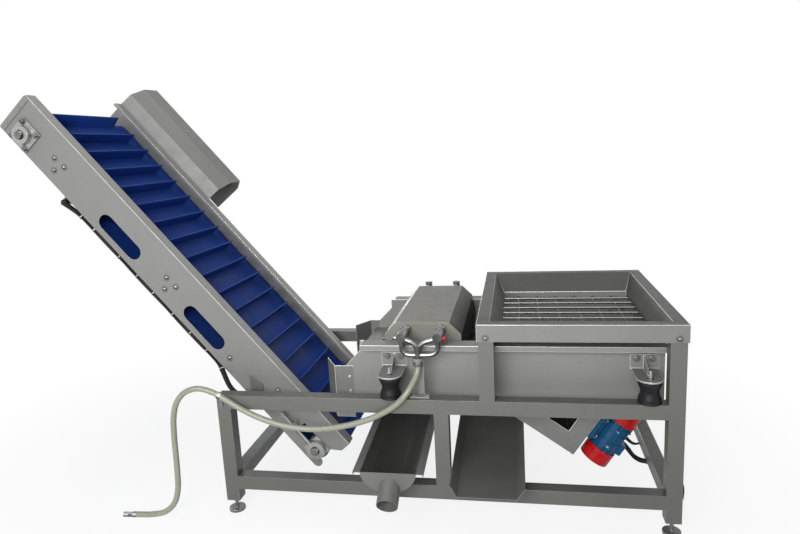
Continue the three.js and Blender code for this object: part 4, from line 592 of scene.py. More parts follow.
# Rear ends of the spray bars: a cap, and a riser with its heights in shares of its rise
CAP_PROFILE = (
    (0, 0), (0.019, 0), (0.019, 0.008), (0.012, 0.010), (0.012, 0.022), (0.008, 0.026), (0, 0.026))
CAP_SUNK = 0.001
RISER_BACK = 0.017
RISER_ABOVE_HOOD = 0.012
RISER_FOOT = 0.0185
RISER_NECK = 0.016
RISER_TOP = 0.020
RISER_SHARES = (
    (0, 0), (RISER_FOOT, 0), (RISER_FOOT, 0.74), (RISER_NECK, 0.78), (RISER_NECK, 0.84),
    (RISER_TOP, 0.86), (RISER_TOP, 0.96), (RISER_NECK, 1), (0, 1))


def mirrored(place):
    return Vector((place.x, 2 * ORIGIN.y + FRAME_DEPTH - place.y, place.z))


def plate_bolt_places():
    return [on_belt(PLATE_ENDS[0] + along * (PLATE_ENDS[1] - PLATE_ENDS[0]), NEAR_PLATE_Y,
                    PLATE_EDGES[0] + up * (PLATE_EDGES[1] - PLATE_EDGES[0]))
            for along, up in PLATE_BOLT_SHARES]


def bearing_bolt_places():
    return [on_belt(HEAD_AXIS_S + along * BEARING_BOLT_OFFSET, BEARING_FACE,
                    up * BEARING_BOLT_OFFSET) for along in (-1, 1) for up in (-1, 1)]


def apron_screw_places():
    return [at(x, APRON_FACE, APRON_SCREW_Z) for x in APRON_SCREW_X]


def bracket_bolt_places(x, y):
    """The two bolts of the tray's bracket over the spring at x, y."""
    face = FRAME_DEPTH - BRACKET_FACE if y > FRAME_DEPTH / 2 else BRACKET_FACE
    return [at(x + way * BRACKET_BOLT_OFFSET, face, BRACKET_BOLT_Z) for way in (-1, 1)]


def add_bar_end(made, bar):
    low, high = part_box(bar)
    rear_end = Vector(((low.x + high.x) / 2, high.y - CAP_SUNK, (low.z + high.z) / 2))
    add_lathe(made, CAP_PROFILE, rear_end, TOWARD_BACK, ROUND_SIDES)
    foot = rear_end + TOWARD_BACK * RISER_BACK
    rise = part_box("spray_hood")[1].z + RISER_ABOVE_HOOD - foot.z
    add_turned(made, RISER_SHARES, foot, UPWARD, 1, rise)


def add_fixed_bolts():
    made = bmesh.new()
    for place in plate_bolt_places():
        add_dome_head(made, place, TOWARD_FRONT, *PLATE_BOLT)
        add_dome_head(made, mirrored(place), TOWARD_BACK, *PLATE_BOLT)
    for place in bearing_bolt_places():
        add_hex_head(made, place, TOWARD_FRONT, *BEARING_BOLT)
    for place in apron_screw_places():
        add_dome_head(made, place, TOWARD_FRONT, *APRON_SCREW)
    for side in ("left", "right"):
        add_bar_end(made, f"spray_bar_{side}")
    new_piece("frame_bolts", made, "machine_frame", "bright_stainless")


def on_arm(along, out, y):
    return ARM_TIP + ARM_UP * along + ARM_OUT * out + Vector((0, y, 0))


def add_motor_bolts(made, y):
    for along in MOTOR_FOOT_BOLTS:
        for way in (-1, 1):
            foot = on_arm(along, MOTOR_FOOT_BOLT_OUT, y + way * MOTOR_FOOT_BOLT_SIDE)
            add_hex_head(made, foot, ARM_OUT, *MOTOR_BOLT)
    for along, axis in zip(MOTOR_LUGS, (ARM_UP, -ARM_UP)):
        for out, side in ((1, 0), (0, 1), (0, -1)):
            place = on_arm(along, MOTOR_AXIS_OUT + out * MOTOR_LUG_RADIUS,
                           y + side * MOTOR_LUG_RADIUS)
            add_hex_head(made, place, axis, *MOTOR_BOLT)


def thread_profile():
    """Crests and roots of a stud's thread."""
    profile = [(0, 0)]
    for i in range(2 * STUD_TURNS + 1):
        share = 1 if i % 2 else STUD_CORE_SHARE
        profile.append((STUD_RADIUS * share, STUD_HEIGHT * i / (2 * STUD_TURNS)))
    return [*profile, (0, STUD_HEIGHT)]


def add_tray_bolts():
    made = bmesh.new()
    add_motor_bolts(made, MOTOR_Y)
    add_motor_bolts(made, FRAME_DEPTH - MOTOR_Y)
    for x, y in SPRING_PLACES.values():
        at_back = y > FRAME_DEPTH / 2
        axis = TOWARD_BACK if at_back else TOWARD_FRONT
        for place in bracket_bolt_places(x, y):
            add_hex_head(made, place, axis, *BRACKET_BOLT)
        foot = at(x, FRAME_DEPTH - STUD_Y if at_back else STUD_Y, SHELF_TOP)
        add_hex_head(made, foot, UPWARD, *STUD_NUT)
        add_lathe(made, thread_profile(), foot, UPWARD, ROUND_SIDES)
    new_piece("tray_bolts", made, "vibrating_tray", "bright_stainless")


add_fixed_bolts()
add_tray_bolts()

# Materials. Texture coordinates are the object's own, in metres, so one finish runs on
# from piece to piece

# Patterns of noise: scale per metre, detail, roughness and distortion
NOISE_SOCKETS = ("Scale", "Detail", "Roughness", "Distortion")
PATTERNS = {
    "cloud": (1, 3, 0.5, 0),
    "brush_lines": (1, 3, 0.7, 0),
    "smudge": (13, 4, 0.65, 1.2),
    "grain": (900, 2, 0.55, 0),
    "shade_and_grime": (130, 3, 0.7, 2),
    "fold_highlight_patches": (24, 3, 0.55, 0),
    "sheet_waves": (5, 2, 0.55, 0),
    "reflection_waves": (30, 3, 0.55, 0),
    "drawn_grain": (500, 2, 0.55, 0),
    "rod_stain": (60, 4, 0.7, 1),
    "orange_peel": (420, 2, 0.55, 0),
    "paint_dust": (38, 5, 0.7, 0),
    "paint_wear": (90, 4, 0.7, 2),
    "belt_face": (520, 2, 0.55, 0),
    "belt_film": (7, 4, 0.6, 0.8),
    "belt_rub": (1, 4, 0.65, 0),
    "rubber_dust": (26, 6, 0.7, 0),
    "rubber_skin": (700, 3, 0.55, 0),
    "hose_film": (9, 3, 0.55, 0)}
# Relief of a pattern: strength, and depth in metres
RELIEFS = {
    "brush_lines": (0.2, 0.0002),
    "grain": (0.12, 0.0002),
    "sheet_waves": (0.1, 0.003),
    "drawn_grain": (0.1, 0.0002),
    "rod_stain": (0.1, 0.0005),
    "orange_peel": (0.2, 0.0006),
    "belt_face": (0.25, 0.0004),
    "rubber_skin": (0.25, 0.0004),
    "weave": (0.2, 0.0004)}
# A look runs over this part of a noise unless another range is given
NOISE_RANGE = (0.3, 0.7)
BLACK = (0, 0, 0)


def shade(colour, factor):
    return tuple(min(1.0, c * factor) for c in colour)


class Finish:
    """A material and what its nodes are made with."""

    def __init__(self, name):
        self.material = bpy.data.materials.new(name)
        self.material.use_nodes = True
        self.nodes = self.material.node_tree.nodes
        self.links = self.material.node_tree.links
        self.shader = self.nodes["Principled BSDF"]
        self.coordinates = self.nodes.new("ShaderNodeTexCoord")
        self.place = self.coordinates.outputs["Object"]

    def set(self, socket, value):
        self.shader.inputs[socket].default_value = value

    def link(self, source, socket):
        self.links.new(source, self.shader.inputs[socket])

    def stretched(self, scale):
        node = self.nodes.new("ShaderNodeMapping")
        node.inputs["Scale"].default_value = scale
        self.links.new(self.place, node.inputs["Vector"])
        return node.outputs["Vector"]

    def noise(self, pattern, vector=None):
        node = self.nodes.new("ShaderNodeTexNoise")
        for socket, value in zip(NOISE_SOCKETS, PATTERNS[pattern]):
            node.inputs[socket].default_value = value
        self.links.new(vector or self.place, node.inputs["Vector"])
        return node.outputs["Fac"]

    def parts(self, vector):
        node = self.nodes.new("ShaderNodeSeparateXYZ")
        self.links.new(vector, node.inputs["Vector"])
        return node.outputs["X"], node.outputs["Y"], node.outputs["Z"]

    def facing(self):
        return self.parts(self.coordinates.outputs["Normal"])

    def spread(self, source, low, high, between=NOISE_RANGE):
        """Low to high while source runs between the two values given."""
        node = self.nodes.new("ShaderNodeMapRange")
        sockets = ("From Min", "From Max", "To Min", "To Max")
        for socket, value in zip(sockets, (*between, low, high)):
            node.inputs[socket].default_value = value
        self.links.new(source, node.inputs["Value"])
        return node.outputs["Result"]

    def math(self, operation, a, b=0.0):
        node = self.nodes.new("ShaderNodeMath")
        node.operation = operation
        for socket, value in zip(node.inputs, (a, b)):
            if isinstance(value, (int, float)):
                socket.default_value = value
            else:
                self.links.new(value, socket)
        return node.outputs["Value"]

    def measured(self, operation, point):
        """Dot product of the place with a point, or its distance from one."""
        node = self.nodes.new("ShaderNodeVectorMath")
        node.operation = operation
        node.inputs[1].default_value = point
        self.links.new(self.place, node.inputs[0])
        return node.outputs["Value"]

    def off_plane(self, point, normal):
        """Distance from the plane through point."""
        along = self.math("SUBTRACT", self.measured("DOT_PRODUCT", normal), point.dot(normal))
        return self.math("ABSOLUTE", along)

    def near(self, spots, reach):
        """1 at the given places, falling to 0 at the reach."""
        nearest = self.measured("DISTANCE", spots[0])
        for spot in spots[1:]:
            nearest = self.math("MINIMUM", nearest, self.measured("DISTANCE", spot))
        return self.spread(nearest, 1, 0, (0, reach))

    def mixed(self, share, first, second):
        node = self.nodes.new("ShaderNodeMix")
        node.data_type = "RGBA"
        inputs = {s.name: s for s in node.inputs if s.type == "RGBA"}
        self.links.new(share, node.inputs["Factor"])
        for name, value in (("A", first), ("B", second)):
            if isinstance(value, tuple):
                inputs[name].default_value = (*value, 1)
            else:
                self.links.new(value, inputs[name])
        return [s for s in node.outputs if s.type == "RGBA"][0]

    def between_shades(self, source, colour, shares):
        """From one share of the colour to the other, by source."""
        return self.mixed(self.spread(source, 0, 1), *(shade(colour, share) for share in shares))

    def patched(self, source, base, patch, strength, between=NOISE_RANGE):
        """The patch laid over the base with the given strength where source is high."""
        return self.mixed(self.spread(source, 0, strength, between), base, patch)

    def relief(self, height, pattern, below=None):
        node = self.nodes.new("ShaderNodeBump")
        for socket, value in zip(("Strength", "Distance"), RELIEFS[pattern]):
            node.inputs[socket].default_value = value
        self.links.new(height, node.inputs["Height"])
        if below:
            self.links.new(below, node.inputs["Normal"])
        return node.outputs["Normal"]

    def finished(self, colour, surface, source, roughness, variation):
        """Colour and relief, with a roughness that varies with source."""
        self.link(colour, "Base Color")
        self.link(surface, "Normal")
        rough = self.spread(source, roughness - variation, roughness + variation)
        self.link(rough, "Roughness")
        return self.material


# Steel. A strength says how much a mark covers, a share how much of the tone it leaves, and
# a range over what facing or height the painted shade changes. Brushed and ground faces
# each have a pattern, a strength and a share
CLOUD_STRETCH = (2.6, 2.6, 0.5)
CLOUD_MOTTLE = 0.07
SMUDGE_STRENGTH = 0.4
SMUDGE_RANGE = (0.52, 0.78)
SMUDGE_SHARE = 0.86
BRUSHED = ("brush_lines", 0.5, 0.86)
GROUND = ("grain", 0.3, 0.84)
# Rings of painted shadow and grime round bolt heads: strengths, share and reaches
SHADE_AND_GRIME_STRENGTHS = (0.6, 1.7)
SHADE_AND_GRIME_SHARE = 0.12
SHADE_AND_GRIME_REACH = 0.019
BEARING_SHADE_AND_GRIME_REACH = 0.017
# Ranges of facing, then of height, over which the painted shade changes
SIDE_RANGE = (0.2, 0.8)
TOP_RANGE = (0.2, 0.85)
FRONT_RANGE = (0.7, 0.97)
LOW_SHADE_HEIGHTS = (0.2, 0.8)
# Painted highlight along the side plates' fold: its width, the plates' distance from the middle,
# the strengths of its patches and its share of the tone
FOLD_LINE = 0.0035
PLATE_FROM_MIDDLE = FRAME_DEPTH / 2 - NEAR_PLATE_Y
FOLD_HIGHLIGHT_STRENGTHS = (0.5, 1)
FOLD_HIGHLIGHT_SHARE = 1.8
STEEL_VARIATION = 0.07


def steel_tone(finish, tone, mottle, brush):
    """The tone with its clouds, smudges and grain or lines, the smudges and the relief."""
    cloud = finish.noise("cloud", finish.stretched(CLOUD_STRETCH))
    smudge = finish.noise("smudge")
    tint = finish.between_shades(cloud, tone, (1 - mottle, 1 + mottle))
    tint = finish.patched(smudge, tint, shade(tone, SMUDGE_SHARE), SMUDGE_STRENGTH, SMUDGE_RANGE)
    pattern, strength, share = BRUSHED if brush else GROUND
    fine = finish.noise(pattern, finish.stretched(brush) if brush else None)
    colour = finish.patched(fine, tint, shade(tone, share), strength)
    return colour, smudge, finish.relief(fine, pattern)


def painted_shade_share(finish, sideways, upward, frontal, low_shade_share, unshaded_tops):
    """Painted shade: share of the tone that a face keeps, by the way it looks and by its height.
    """
    across, depth, up = finish.facing()
    _, _, height = finish.parts(finish.place)
    share = finish.spread(finish.math("ABSOLUTE", across), 1, sideways, SIDE_RANGE)
    # Painted shade on faces looking up, lifted where unshaded_tops gives 1
    shaded_tops = finish.spread(up, 1, upward, TOP_RANGE)
    if unshaded_tops:
        shaded_tops = finish.math("MAXIMUM", shaded_tops, unshaded_tops(finish))
    front = finish.spread(finish.math("ABSOLUTE", depth), 1, frontal, FRONT_RANGE)
    # Painted shade, darker towards the floor
    low_down = finish.spread(height, low_shade_share, 1, LOW_SHADE_HEIGHTS)
    for other in (shaded_tops, front, low_down):
        share = finish.math("MULTIPLY", share, other)
    return share


def painted_fold_highlight(finish, fold):
    """Painted highlight: up to 1, in patches, along the side plates' fold through the given place.
    """
    from_middle = finish.off_plane(at(0, FRAME_DEPTH / 2, 0), TOWARD_BACK)
    beside = finish.math("ABSOLUTE", finish.math("SUBTRACT", from_middle, PLATE_FROM_MIDDLE))
    off_fold = finish.math("MAXIMUM", finish.off_plane(fold, OUTWARD), beside)
    fold_glint = finish.spread(off_fold, 1, 0, (FOLD_LINE / 2, FOLD_LINE))
    patches = finish.spread(finish.noise("fold_highlight_patches"), *FOLD_HIGHLIGHT_STRENGTHS)
    return finish.math("MULTIPLY", fold_glint, patches)


def stainless(name, tone, roughness, metallic, brush=None, mottle=CLOUD_MOTTLE, shade_and_grime_spots=(),
              shade_and_grime_reach=SHADE_AND_GRIME_REACH, sideways=1, upward=1, frontal=1, low_shade_share=1, unshaded_tops=None,
              highlight_fold=None):
    """Sheet or tube steel: fine grain, soft cloudy tone and, along brush, fine lines.

    Painted shade: faces looking to the side, up or to the front, and the parts low down, keep
    the given share of the tone; where unshaded_tops gives 1 the faces looking up keep all of it."""
    finish = Finish(name)
    colour, smudge, surface = steel_tone(finish, tone, mottle, brush)
    # Painted shadow with grime in rings round the bolt heads
    if shade_and_grime_spots:
        shade_and_grime = finish.spread(finish.noise("shade_and_grime"), *SHADE_AND_GRIME_STRENGTHS)
        shade_and_grime = finish.math("MULTIPLY", finish.near(shade_and_grime_spots, shade_and_grime_reach), shade_and_grime)
        shade_and_grime = finish.math("MINIMUM", shade_and_grime, 1)
        colour = finish.mixed(shade_and_grime, colour, shade(tone, SHADE_AND_GRIME_SHARE))
    # Painted shade by the way a face looks and by its height
    share = painted_shade_share(finish, sideways, upward, frontal, low_shade_share, unshaded_tops)
    colour = finish.mixed(share, BLACK, colour)
    # Painted highlight along the side plates' fold
    if highlight_fold is not None:
        colour = finish.mixed(painted_fold_highlight(finish, highlight_fold), colour, shade(tone, FOLD_HIGHLIGHT_SHARE))
    surface = finish.relief(finish.noise("sheet_waves"), "sheet_waves", below=surface)
    finish.set("Metallic", metallic)
    return finish.finished(colour, surface, smudge, roughness, STEEL_VARIATION)


# Drawn bright metal with a painted reflection, in shares of the tone and ranges of facing up
REFLECTION_WOBBLE = 0.08
REFLECTION_SIDE_SHARE = 0.16
REFLECTION_SIDE_RANGE = (-0.1, 0.45)
REFLECTION_TOP_SHARE = 0.3
REFLECTION_TOP_RANGE = (0.78, 0.97)
REFLECTION_BELOW_SHARE = 0.5
REFLECTION_BELOW_RANGE = (-0.95, -0.5)
DRAWN_GRAIN_STRENGTH = 0.3
DRAWN_GRAIN_SHARE = 0.8
DRAWN_ROUGHNESS = 0.30
DRAWN_VARIATION = 0.06
DRAWN_METALLIC = 0.6


def polished_with_painted_reflection(name, tone):
    """Drawn bright metal with a painted reflection: light where it faces up and outward, shaded
    above and below.
    """
    finish = Finish(name)
    _, _, up = finish.facing()
    wave = finish.spread(finish.noise("reflection_waves"), -REFLECTION_WOBBLE, REFLECTION_WOBBLE)
    up = finish.math("ADD", up, wave)
    # Painted reflection: lighter where the face looks up and outward, with painted shade above
    painted_reflection_band = finish.math("MULTIPLY", finish.spread(up, REFLECTION_SIDE_SHARE, 1, REFLECTION_SIDE_RANGE),
                       finish.spread(up, 1, REFLECTION_TOP_SHARE, REFLECTION_TOP_RANGE))
    # Painted reflection on faces looking down
    low = finish.spread(up, REFLECTION_BELOW_SHARE, 0, REFLECTION_BELOW_RANGE)
    grain = finish.noise("drawn_grain")
    colour = finish.patched(grain, tone, shade(tone, DRAWN_GRAIN_SHARE), DRAWN_GRAIN_STRENGTH)
    colour = finish.mixed(finish.math("MAXIMUM", painted_reflection_band, low), BLACK, colour)
    finish.set("Metallic", DRAWN_METALLIC)
    return finish.finished(colour, finish.relief(grain, "drawn_grain"), grain,
                           DRAWN_ROUGHNESS, DRAWN_VARIATION)


# Rods of the screen, with the heights above its level between which the painted shade ends
ROD_CROSSING = (0.0006, 0.0022)
ROD_STAIN_STRENGTH = 0.5
ROD_STAIN_SHARE = 0.7
ROD_SHADE_SHARES = (0.10, 0.22)
ROD_ROUGHNESS = 0.3
ROD_VARIATION = 0.1
ROD_METALLIC = 0.85


def screen_rods(name, tone, level):
    """Bright rods across the throat, with stains; painted shade on those welded beneath and on the
    lower part of those above.
    """
    finish = Finish(name)
    _, _, height = finish.parts(finish.place)
    # Painted shade below the crossing height
    low = finish.spread(height, 1, 0, [level + above for above in ROD_CROSSING])
    stain = finish.noise("rod_stain")
    bright = finish.patched(stain, tone, shade(tone, ROD_STAIN_SHARE), ROD_STAIN_STRENGTH)
    shaded_rods = finish.between_shades(stain, tone, ROD_SHADE_SHARES)
    finish.set("Metallic", ROD_METALLIC)
    return finish.finished(finish.mixed(low, bright, shaded_rods), finish.relief(stain, "rod_stain"),
                           stain, ROD_ROUGHNESS, ROD_VARIATION)


PAINT_DUST_SHARES = (0.82, 1.16)
PAINT_WEAR_STRENGTH = 0.6
PAINT_WEAR_RANGE = (0.62, 0.8)
PAINT_WORN_SHARE = 0.5
PAINT_VARIATION = 0.10
PAINT_SPECULAR = 0.22


def enamel(name, colour, roughness):
    """Sprayed paint with orange peel, dust and a few worn spots."""
    finish = Finish(name)
    dust = finish.noise("paint_dust")
    base = finish.between_shades(dust, colour, PAINT_DUST_SHARES)
    base = finish.patched(finish.noise("paint_wear"), base, shade(colour, PAINT_WORN_SHARE),
                          PAINT_WEAR_STRENGTH, PAINT_WEAR_RANGE)
    peel = finish.relief(finish.noise("orange_peel"), "orange_peel")
    finish.set("Specular IOR Level", PAINT_SPECULAR)
    return finish.finished(base, peel, dust, roughness, PAINT_VARIATION)


BELT_FILM_SHARES = (0.8, 1.2)
BELT_RUB_STRETCH = (30, 5, 30)
BELT_RUB_STRENGTH = 0.35
BELT_RUB_RANGE = (0.5, 0.75)
BELT_RUBBED_SHARE = 1.7
BELT_FACE_STRENGTH = 0.2
BELT_FACE_SHARE = 0.6
BELT_VARIATION = 0.09
BELT_SPECULAR = 0.12


def belting(name, colour, roughness):
    """Moulded belt: even blue with a fine fabric-like face and a faint sheen of water."""
    finish = Finish(name)
    face = finish.noise("belt_face")
    film = finish.noise("belt_film")
    rub = finish.noise("belt_rub", finish.stretched(BELT_RUB_STRETCH))
    base = finish.between_shades(film, colour, BELT_FILM_SHARES)
    base = finish.patched(rub, base, shade(colour, BELT_RUBBED_SHARE), BELT_RUB_STRENGTH,
                          BELT_RUB_RANGE)
    base = finish.patched(face, base, shade(colour, BELT_FACE_SHARE), BELT_FACE_STRENGTH)
    finish.set("Specular IOR Level", BELT_SPECULAR)
    return finish.finished(base, finish.relief(face, "belt_face"), film, roughness,
                           BELT_VARIATION)


RUBBER_DUST_RANGE = (0.45, 0.75)
RUBBER_DUSTY_SHARE = 2.4
RUBBER_VARIATION = 0.1
RUBBER_SPECULAR = 0.2


def rubber(name, colour, roughness):
    finish = Finish(name)
    dust = finish.noise("rubber_dust")
    base = finish.patched(dust, colour, shade(colour, RUBBER_DUSTY_SHARE), 1, RUBBER_DUST_RANGE)
    skin = finish.relief(finish.noise("rubber_skin"), "rubber_skin")
    finish.set("Specular IOR Level", RUBBER_SPECULAR)
    return finish.finished(base, skin, dust, roughness, RUBBER_VARIATION)


BRAIDS_AROUND = 6
BRAIDS_PER_METRE = 42
HOSE_FILM_SHARES = (0.94, 1.06)
HOSE_THREAD_STRENGTH = 0.45
HOSE_THREAD_RANGE = (0.55, 0.95)
HOSE_VARIATION = 0.05


def braided(name, colour, thread, roughness):
    """Clear hose over a crossed braid, drawn with the tube's own coordinates."""
    finish = Finish(name)
    u, v, _ = finish.parts(finish.coordinates.outputs["UV"])
    crossing = []
    for way in (1, -1):
        phase = finish.math("ADD", finish.math("MULTIPLY", u, math.tau * BRAIDS_AROUND),
                            finish.math("MULTIPLY", v, math.tau * way * BRAIDS_PER_METRE))
        crossing.append(finish.math("SINE", phase))
    weave = finish.math("MAXIMUM", *crossing)
    film = finish.noise("hose_film")
    base = finish.between_shades(film, colour, HOSE_FILM_SHARES)
    base = finish.patched(weave, base, thread, HOSE_THREAD_STRENGTH, HOSE_THREAD_RANGE)
    return finish.finished(base, finish.relief(weave, "weave"), film, roughness,
                           HOSE_VARIATION)


SHEET_TONE = (0.222, 0.222, 0.214)
FRAME_TONE = (0.141, 0.142, 0.132)
HOOD_TONE = (0.182, 0.179, 0.156)
BRIGHT_TONE = (0.50, 0.505, 0.50)
PIPE_TONE = (0.29, 0.293, 0.29)
ROD_TONE = (0.42, 0.425, 0.42)
CAST_TONE = (0.36, 0.36, 0.35)
BELT_TONE = (0.012, 0.054, 0.29)
BLUE_TONE = (0.003, 0.062, 0.148)
RED_TONE = (0.42, 0.006, 0.008)
RUBBER_TONE = (0.007, 0.007, 0.008)
HOSE_TONE = (0.235, 0.242, 0.185)
THREAD_TONE = (0.30, 0.305, 0.245)
TIE_TONE = (0.33, 0.33, 0.31)
PAINTED_LIGHT_SHARE = 1.5
DULL_SHARE = 0.77
CHANNEL_SHADE_SHARE = 0.66
SATIN = {"roughness": 0.52, "metallic": 0.28}
WET = {"roughness": 0.54, "metallic": 0.22}
CAST = {"roughness": 0.36, "metallic": 0.6}
EDGE_HIGHLIGHT_GLOSS = {"roughness": 0.32, "metallic": 0.5}
TROUGH_FRONT = -0.100
TROUGH_CENTRE = 0.757
TROUGH_HALF = 0.115
SCREEN_NODE = "hopper_screen"
SCREEN_LEVEL = 0.776


def outside_trough(finish):
    """1 on the outlet pipe in front and on the rims, 0 in the bowl, which alone keeps the painted
    shade on faces looking up.
    """
    _, depth, _ = finish.parts(finish.place)
    ahead = finish.math("LESS_THAN", depth, at(0, TROUGH_FRONT, 0).y)
    across = finish.off_plane(at(TROUGH_CENTRE, 0, 0), TO_THE_RIGHT)
    return finish.math("MAXIMUM", ahead, finish.math("GREATER_THAN", across, TROUGH_HALF))


# Rings under the bolt heads, darkened by painted shadow and grime
SHADE_AND_GRIME_SPOTS = plate_bolt_places() + apron_screw_places()
for x, y in SPRING_PLACES.values():
    SHADE_AND_GRIME_SPOTS += bracket_bolt_places(x, y)

SLOT_FINISHES = {
    "sheet_stainless": stainless("sheet_stainless", SHEET_TONE, **SATIN, shade_and_grime_spots=SHADE_AND_GRIME_SPOTS),
    # Painted shade: the frame darker towards the floor
    "frame_stainless": stainless("frame_stainless", FRAME_TONE, **SATIN, low_shade_share=0.78),
    # Painted shade on the hood's sloping sides
    "hood_stainless": stainless("hood_stainless", HOOD_TONE, **SATIN, brush=(1600, 9, 1600),
                                sideways=0.06),
    # Drawn steel with a painted reflection
    "bright_stainless": polished_with_painted_reflection("bright_stainless", BRIGHT_TONE),
    "pipe": polished_with_painted_reflection("pipe_stainless", PIPE_TONE),
    "cast_housing": stainless("cast_housing", CAST_TONE, **CAST, shade_and_grime_spots=bearing_bolt_places(),
                              shade_and_grime_reach=BEARING_SHADE_AND_GRIME_REACH),
    # Painted shade on the hopper's faces that look sideways, up or to the front
    "hopper_sheet": stainless("hopper_sheet", SHEET_TONE, **SATIN, shade_and_grime_spots=SHADE_AND_GRIME_SPOTS,
                              sideways=0.30, upward=0.34, frontal=0.9),
    # Painted light: a lighter copy of the sheet on the elevator's sides, with painted shade on
    # faces looking to the front
    "painted_light_sheet": stainless("painted_light_sheet", shade(SHEET_TONE, PAINTED_LIGHT_SHARE), **SATIN,
                             shade_and_grime_spots=SHADE_AND_GRIME_SPOTS, frontal=0.60,
                             highlight_fold=on_belt(0, NEAR_PLATE_Y, PLATE_EDGES[1])),
    "dull_sheet": stainless("dull_sheet", shade(SHEET_TONE, DULL_SHARE), **SATIN),
    # Painted shade: trough and chute darker, lying in the machine's shadow, and their faces
    # looking up darker still
    "trough": stainless("shaded_trough", shade(SHEET_TONE, CHANNEL_SHADE_SHARE), **WET, mottle=0.16,
                        upward=0.34, unshaded_tops=outside_trough),
    "chute": stainless("shaded_chute", shade(SHEET_TONE, CHANNEL_SHADE_SHARE), **WET, mottle=0.20,
                       upward=0.7),
    "screen": screen_rods("screen_rods", ROD_TONE, ORIGIN.z + SCREEN_LEVEL),
    "blue_belt": belting("blue_belt", BELT_TONE, roughness=0.49),
    "blue_enamel": enamel("blue_enamel", BLUE_TONE, roughness=0.40),
    "red_enamel": enamel("red_enamel", RED_TONE, roughness=0.36),
    "black_rubber": rubber("black_rubber", RUBBER_TONE, roughness=0.5),
    "pale_hose": braided("pale_hose", HOSE_TONE, THREAD_TONE, roughness=0.29),
}
# Painted highlight: rounded edges and folds take a brighter copy of the steel than the faces
# beside them
EDGE_HIGHLIGHT_SHARES = {
    "sheet_stainless": (SHEET_TONE, 4.2),
    "frame_stainless": (FRAME_TONE, 1.9),
    "hood_stainless": (HOOD_TONE, 2.8)}
EDGE_HIGHLIGHT_FINISHES = {slot: stainless(f"{slot}_edge", shade(tone, share), **EDGE_HIGHLIGHT_GLOSS, mottle=0.15)
                 for slot, (tone, share) in EDGE_HIGHLIGHT_SHARES.items()}

ties.data.materials.append(rubber("tie_nylon", TIE_TONE, roughness=0.4))
for piece in SCENE.objects:
    if piece.type == "MESH" and not piece.data.materials and piece.get("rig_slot"):
        piece.data.materials.append(SLOT_FINISHES[piece["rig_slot"]])

# Carried-over nodes keep their shape and get their finish and their rounded edges, most of which
# take a painted highlight
EDGE_ROUND = 0.0012
TUBE_ROUND = 0.004
ROUND_SEGMENTS = 2
SHARP = math.radians(32)
FLAT = math.radians(0.4)
WELD_REACH = 0.00001


def soften_edges(piece, width, edge_highlight):
    weld = piece.modifiers.new("weld", "WELD")
    weld.merge_threshold = WELD_REACH
    clean = piece.modifiers.new("clean", "DECIMATE")
    clean.decimate_type = "DISSOLVE"
    clean.angle_limit = FLAT
    round_off = piece.modifiers.new("round_off", "BEVEL")
    round_off.width = width
    round_off.segments = ROUND_SEGMENTS
    round_off.limit_method = "ANGLE"
    round_off.angle_limit = SHARP
    round_off.harden_normals = True
    # The rounded edges take the painted highlight finish
    if edge_highlight:
        piece.data.materials.append(edge_highlight)
        round_off.material = 1


SLOT_OF_NODE = {part["node"]: part["material_slot"] for part in frame["record"]["subparts"]}
OWN_FINISHES = {
    SCREEN_NODE: "screen", "drain_trough": "trough", "discharge_chute": "chute",
    "hopper": "hopper_sheet", "elevator_side_near": "painted_light_sheet",
    "elevator_side_far": "painted_light_sheet", "motor_base": "dull_sheet", "water_manifold": "pipe",
    "infeed_guard_front": "dull_sheet", "infeed_guard_rear": "dull_sheet"}
UNHIGHLIGHTED_EDGES = (SCREEN_NODE, "drain_trough", "discharge_chute")

for node, piece in NODES.items():
    slot = SLOT_OF_NODE[node]
    piece.data.materials.clear()
    piece.data.materials.append(SLOT_FINISHES[OWN_FINISHES.get(node, slot)])
    soften_edges(piece, TUBE_ROUND if slot == "frame_stainless" else EDGE_ROUND,
                 None if node in UNHIGHLIGHTED_EDGES else EDGE_HIGHLIGHT_FINISHES.get(slot))

# Floor, light and background
FLOOR_REACH = 30.0
FADE_RANGE = (1.3, 2.6)
FLOOR_TONE = (0.88, 0.88, 0.88, 1)
FLOOR_ROUGHNESS = 0.75
FLOOR_GLOW_SHARE = 0.84
WORLD_TONE = (0.97, 0.98, 1, 1)
WORLD_STRENGTH = 0.26
WHITE = (1, 1, 1, 1)
LAMP_AIM = Vector((0, 0, 0.8))
# Place, width and height, and power in watts
LAMPS = {
    "key": ((-0.4, -4.6, 2.3), (3.0, 1.8), 218),
    "rear": ((-1.5, 4.6, 0.65), (3.0, 0.8), 60),
    "ceiling": ((-0.6, -0.8, 4.6), (3.0, 2.4), 34)}


def seen_itself(nodes, links):
    """1 for a ray from the camera, also one by way of a gloss or through glass."""
    path = nodes.new("ShaderNodeLightPath")
    seen = path.outputs["Is Camera Ray"]
    for ray in ("Is Glossy Ray", "Is Transmission Ray"):
        either = nodes.new("ShaderNodeMath")
        either.operation = "MAXIMUM"
        links.new(seen, either.inputs[0])
        links.new(path.outputs[ray], either.inputs[1])
        seen = either.outputs["Value"]
    return seen


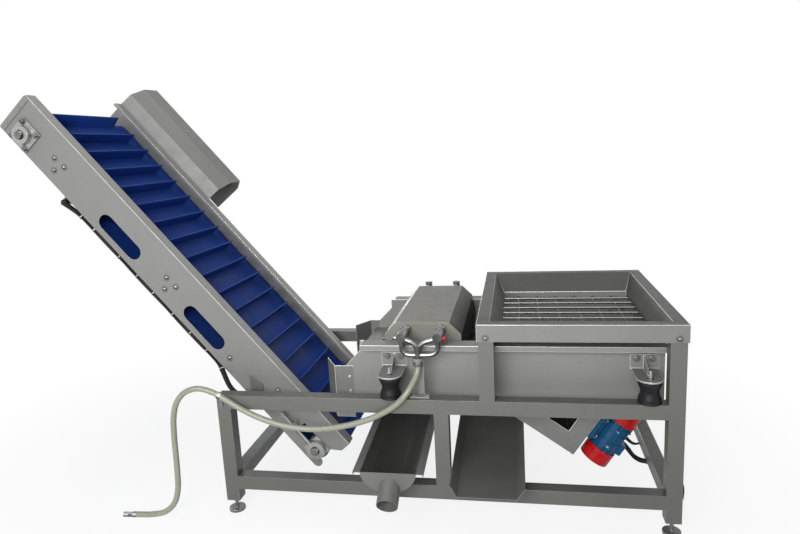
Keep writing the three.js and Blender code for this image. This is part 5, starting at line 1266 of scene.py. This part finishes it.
def show_mixed(nodes, links, share, first, second, output):
    mix = nodes.new("ShaderNodeMixShader")
    links.new(share, mix.inputs["Fac"])
    links.new(first, mix.inputs[1])
    links.new(second, mix.inputs[2])
    links.new(mix.outputs["Shader"], nodes[output].inputs["Surface"])


def pale_floor():
    """Takes the shadows near the object and fades to white farther out."""
    finish = Finish("pale_floor")
    finish.set("Base Color", FLOOR_TONE)
    finish.set("Roughness", FLOOR_ROUGHNESS)
    glow = finish.nodes.new("ShaderNodeEmission")
    distance = finish.measured("DISTANCE", (0, 0, 0))
    far = finish.spread(distance, FLOOR_GLOW_SHARE, 1, FADE_RANGE)
    share = finish.math("MULTIPLY", seen_itself(finish.nodes, finish.links), far)
    show_mixed(finish.nodes, finish.links, share, finish.shader.outputs["BSDF"],
               glow.outputs["Emission"], "Material Output")
    return finish.material


def add_floor():
    made = bmesh.new()
    bmesh.ops.create_grid(made, x_segments=1, y_segments=1, size=FLOOR_REACH)
    floor = new_piece("floor", made)
    floor.data.materials.append(pale_floor())


def add_world():
    """Soft light on the object, and white wherever the background itself is seen."""
    world = bpy.data.worlds.new("studio")
    SCENE.world = world
    world.use_nodes = True
    nodes, links = world.node_tree.nodes, world.node_tree.links
    soft = nodes["Background"]
    white = nodes.new("ShaderNodeBackground")
    for node, tone, strength in ((soft, WORLD_TONE, WORLD_STRENGTH), (white, WHITE, 1)):
        node.inputs["Color"].default_value = tone
        node.inputs["Strength"].default_value = strength
    show_mixed(nodes, links, seen_itself(nodes, links), soft.outputs["Background"],
               white.outputs["Background"], "World Output")


def add_lamp(name, place, size, power):
    data = bpy.data.lights.new(name, "AREA")
    data.shape = "RECTANGLE"
    data.size, data.size_y = size
    data.energy = power
    lamp = bpy.data.objects.new(name, data)
    SCENE.collection.objects.link(lamp)
    lamp.location = place
    lamp.rotation_euler = (LAMP_AIM - Vector(place)).to_track_quat("-Z", "Y").to_euler()


add_floor()
add_world()
for name, (place, size, power) in LAMPS.items():
    add_lamp(name, place, size, power)
